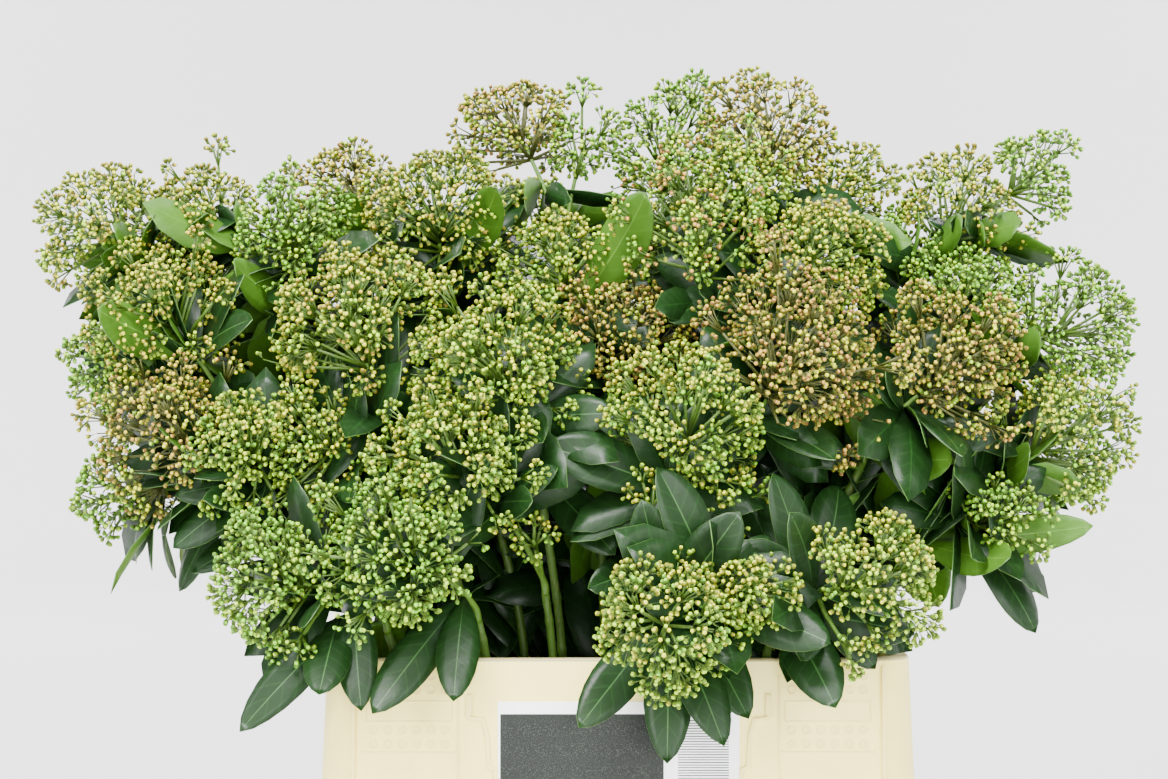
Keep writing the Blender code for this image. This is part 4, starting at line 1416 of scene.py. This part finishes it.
class Leaves:
    """The leaves in the making: the fine ones near the heads and the coarse inner ones."""

    def __init__(self, shoots, rng):
        self.fine = blade_shape(*FINE_BLADE)
        self.coarse = blade_shape(*COARSE_BLADE)
        self.heads = [head for shoot in shoots for head in shoot.heads]
        self.near = Heap()
        self.inner = Heap()
        self.rng = rng

    def bend(self, heap, base, tip, width, upper):
        """Adds a leaf with its own arch, twist, fold and wave."""
        shape = self.fine if heap is self.near else self.coarse
        bends = [self.rng.uniform(*ARCH), self.rng.normal(0, TWIST)]
        bends += [self.rng.uniform(*FOLD), self.rng.uniform(*WAVE)]
        heap.add(*grown_leaf(shape, base, tip, width, upper, *bends))

    def grow(self, heap, base, way, length, width, upper, **skin):
        """Adds a leaf where it has room, and says whether it had."""
        tip = base + way * length
        side = way.cross(upper).normalized()
        if crosses_a_head(base, tip, side, width, self.heads, **skin):
            return False
        self.bend(heap, base, tip, width, upper)
        return True

    def place_front(self, shoots):
        """The leaves that show best from the front, each in its place."""
        for number, start, tip, width, facing in FRONT_LEAVES:
            base = nearest_on(shoots[number - 1].lines(), Vector(start) * MM)
            self.bend(self.near, base, Vector(tip) * MM, width * FRONT_BREADTH * MM, FRONT_WAY * facing)

    def grow_under(self, shoot, head, on_twig, count, lowest, highest):
        """The whorl of leaves under a head, or those along its twig."""
        rng = self.rng
        foot = shoot.foot_of(head)
        square = [Vector(way) for way in frame_of(head.axis)]
        outward = (head.middle - OUTWARD_FROM) * OUTWARD
        heap, skin = (self.inner, INNER_SKIN) if on_twig else (self.near, {})
        turn = rng.uniform(0, 2 * pi)
        if not on_twig and head.middle.z > TOPMOST:
            return
        for i in range(count):
            for attempt in range(HEAD_TRIES):
                angle = turn + 2 * pi * i / count + rng.uniform(-0.5, 0.5)
                way = turned_way(radians(rng.uniform(lowest, highest)), angle, *square)
                length = rng.uniform(*HEAD_LEAF_LENGTH) - SHORTENING * attempt
                base = foot.lerp(shoot.bend(head), on_twig * rng.random())
                width = length * rng.uniform(*SLIMNESS)
                upper = AXIS_SHARE * square[2] + outward.normalized()
                upper += on_twig * TURNED_SHARE * Vector(rng.normal(0, 1, 3)).normalized()
                if self.grow(heap, base, way, length, width, upper, **skin):
                    break

    def grow_on_stem(self, shoot, count, low, high, end, leans, lengths, upper_of):
        """Inner leaves that stand out of a stem between two heights."""
        rng = self.rng
        for _ in range(count):
            for _ in range(STEM_TRIES):
                base = stem_spot(shoot.lane, min(rng.uniform(low, high), end))
                angle = rng.uniform(0, 2 * pi)
                lean = radians(rng.uniform(*leans))
                way = Vector((sin(lean) * cos(angle), sin(lean) * sin(angle), cos(lean)))
                length = rng.uniform(*lengths)
                width = length * rng.uniform(*SLIMNESS)
                if self.grow(self.inner, base, way, length, width, upper_of(way, lean), **INNER_SKIN):
                    break


def upper_inwards(way, lean):
    """A stem leaf's upper side, turned in to the stem and a little to the front."""
    return Vector((-way.x, -way.y, 0)) * cos(lean) + Vector((0, -0.5, sin(lean)))


def make_leaves(shoots, names, rng):
    """The named front leaves, a whorl under each head, and leaves on the twigs and stems.

    Heads at the very top carry no whorl, and small heads carry no leaves.
    """
    leaves = Leaves(shoots, rng)
    leaves.place_front(shoots)
    for shoot in shoots:
        for head in shoot.heads:
            if head.wide >= LEAST_HEAD:
                for whorl, (count, lowest, highest) in enumerate(WHORLS):
                    leaves.grow_under(shoot, head, whorl, count, lowest, highest)
        if shoot.lane[1] >= LEAFY_LANE:
            end = shoot.fork.z - SHOOT_STEM
            for count, low, high in ((STEM_LEAVES, RIM_Z + FIRST_LEAF, shoot.fork.z),
                                     (LOW_LEAVES, RIM_Z - IN_BUCKET, RIM_Z)):
                leaves.grow_on_stem(shoot, count, low, high, end, STEM_LEANS, STEM_LEAF_LENGTH,
                                    upper_inwards)
    for shoot in shoots:
        if shoot.lane[1] >= BACK_LANE:
            leaves.grow_on_stem(shoot, BACK_LEAVES, RIM_Z, RIM_Z + BACK_RISE, shoot.fork.z, BACK_LEANS,
                                BACK_LEAF_LENGTH, lambda way, lean: BACK_UPPER)

    finishes = [
        leaf_finish("leaf_upper", "122F0C", "0A2006", "264F1E", 0.34, 0.36, 1.33),
        leaf_finish("leaf_under", "426B16", "375D11", "557F2A", 0.46, 0.32, 1.38),
        rib_finish("leaf_rib", "335C26", "28481E"),
        rib_finish("leaf_under_rib", "5C842C", "4E7624"),
        rib_finish("leaf_edge", "4C7030", "3C5A24"),
    ]
    finish_piece(leaves.near.piece("leaves_near_heads", finishes), "skimmia_buds", *names)
    finish_piece(leaves.inner.piece("leaves_inner", finishes), "skimmia_buds", *names)


# The stage

def make_stage():
    """A wide pale floor that curves up into a wall all round."""
    flat = WALL_AWAY - WALL_BEND
    bm = bmesh.new()
    outline = [(0.0, 0.0), (flat, 0.0)]
    for i in range(1, 9):
        angle = pi / 16 * i
        outline.append((flat + WALL_BEND * sin(angle), WALL_BEND - WALL_BEND * cos(angle)))
    outline.append((WALL_AWAY, WALL_TOP))
    verts = [bm.verts.new((x, 0, z)) for x, z in outline]
    edges = [bm.edges.new(pair) for pair in zip(verts, verts[1:])]
    bmesh.ops.spin(bm, geom=verts + edges, cent=(0, 0, 0), axis=(0, 0, 1), angle=2 * pi, steps=96,
                   use_merge=True)
    bmesh.ops.remove_doubles(bm, verts=bm.verts, dist=1e-5)
    bmesh.ops.recalc_face_normals(bm, faces=bm.faces)
    if sum(face.normal.z for face in bm.faces) < 0:
        bmesh.ops.reverse_faces(bm, faces=bm.faces)
    mesh = bpy.data.meshes.new("floor")
    bm.to_mesh(mesh)
    bm.free()
    mesh.shade_smooth()
    mesh.materials.append(floor_finish())
    add_piece("floor", mesh)


def add_light(name, place, target, size, power):
    """A soft rectangular lamp that the camera doesn't see."""
    light = bpy.data.lights.new(name, "AREA")
    light.shape = "RECTANGLE"
    light.size, light.size_y = size
    light.energy = power
    lamp = bpy.data.objects.new(name, light)
    lamp.visible_camera = False
    bpy.context.scene.collection.objects.link(lamp)
    lamp.location = place
    lamp.rotation_euler = (Vector(target) - Vector(place)).to_track_quat("-Z", "Y").to_euler()


def make_light():
    """Strong soft light from above, weak fill from the front, and lights on the wall."""
    for name, settings in LAMPS.items():
        add_light(name, *settings)
    aim_away, aim_z = WALL_AIM
    for i, power in enumerate(WALL_LAMP_POWERS):
        turn = pi / 6 + pi / 3 * i
        out = Vector((sin(turn), cos(turn), 0))
        place = out * WALL_LAMPS_AWAY + Vector((0, 0, WALL_LAMPS_Z))
        add_light(f"wall_{i + 1}", place, out * aim_away + Vector((0, 0, aim_z)), WALL_LAMP_SIZE, power)
    world = bpy.data.worlds.new("soft_room")
    world.use_nodes = True
    world.node_tree.nodes["Background"].inputs["Color"].default_value = ROOM_COLOUR
    world.node_tree.nodes["Background"].inputs["Strength"].default_value = ROOM_STRENGTH
    bpy.context.scene.world = world


def make_camera():
    """The camera stands level in front, a little to the left of the bucket's middle."""
    lens = bpy.data.cameras.new("camera")
    lens.sensor_width = SENSOR
    lens.lens = FOCAL_PIXELS / FRAME_WIDTH * SENSOR
    camera = bpy.data.objects.new("camera", lens)
    bpy.context.scene.collection.objects.link(camera)
    camera.location = CAMERA_PLACE
    camera.rotation_euler = (pi / 2, 0, 0)
    bpy.context.scene.camera = camera


def main():
    rng = np.random.default_rng(SEED)
    shoots = [Shoot(i + 1, rows) for i, rows in enumerate(SHOOTS)]
    names = [f"head_{shoot.number:02d}" for shoot in shoots]
    make_camera()
    make_light()
    make_stage()
    make_bucket()
    make_bucket_marks()
    make_label()
    make_stems(shoots, rng)
    make_twigs(shoots, names)
    make_heads(shoots, names, rng)
    make_leaves(shoots, names, rng)


main()
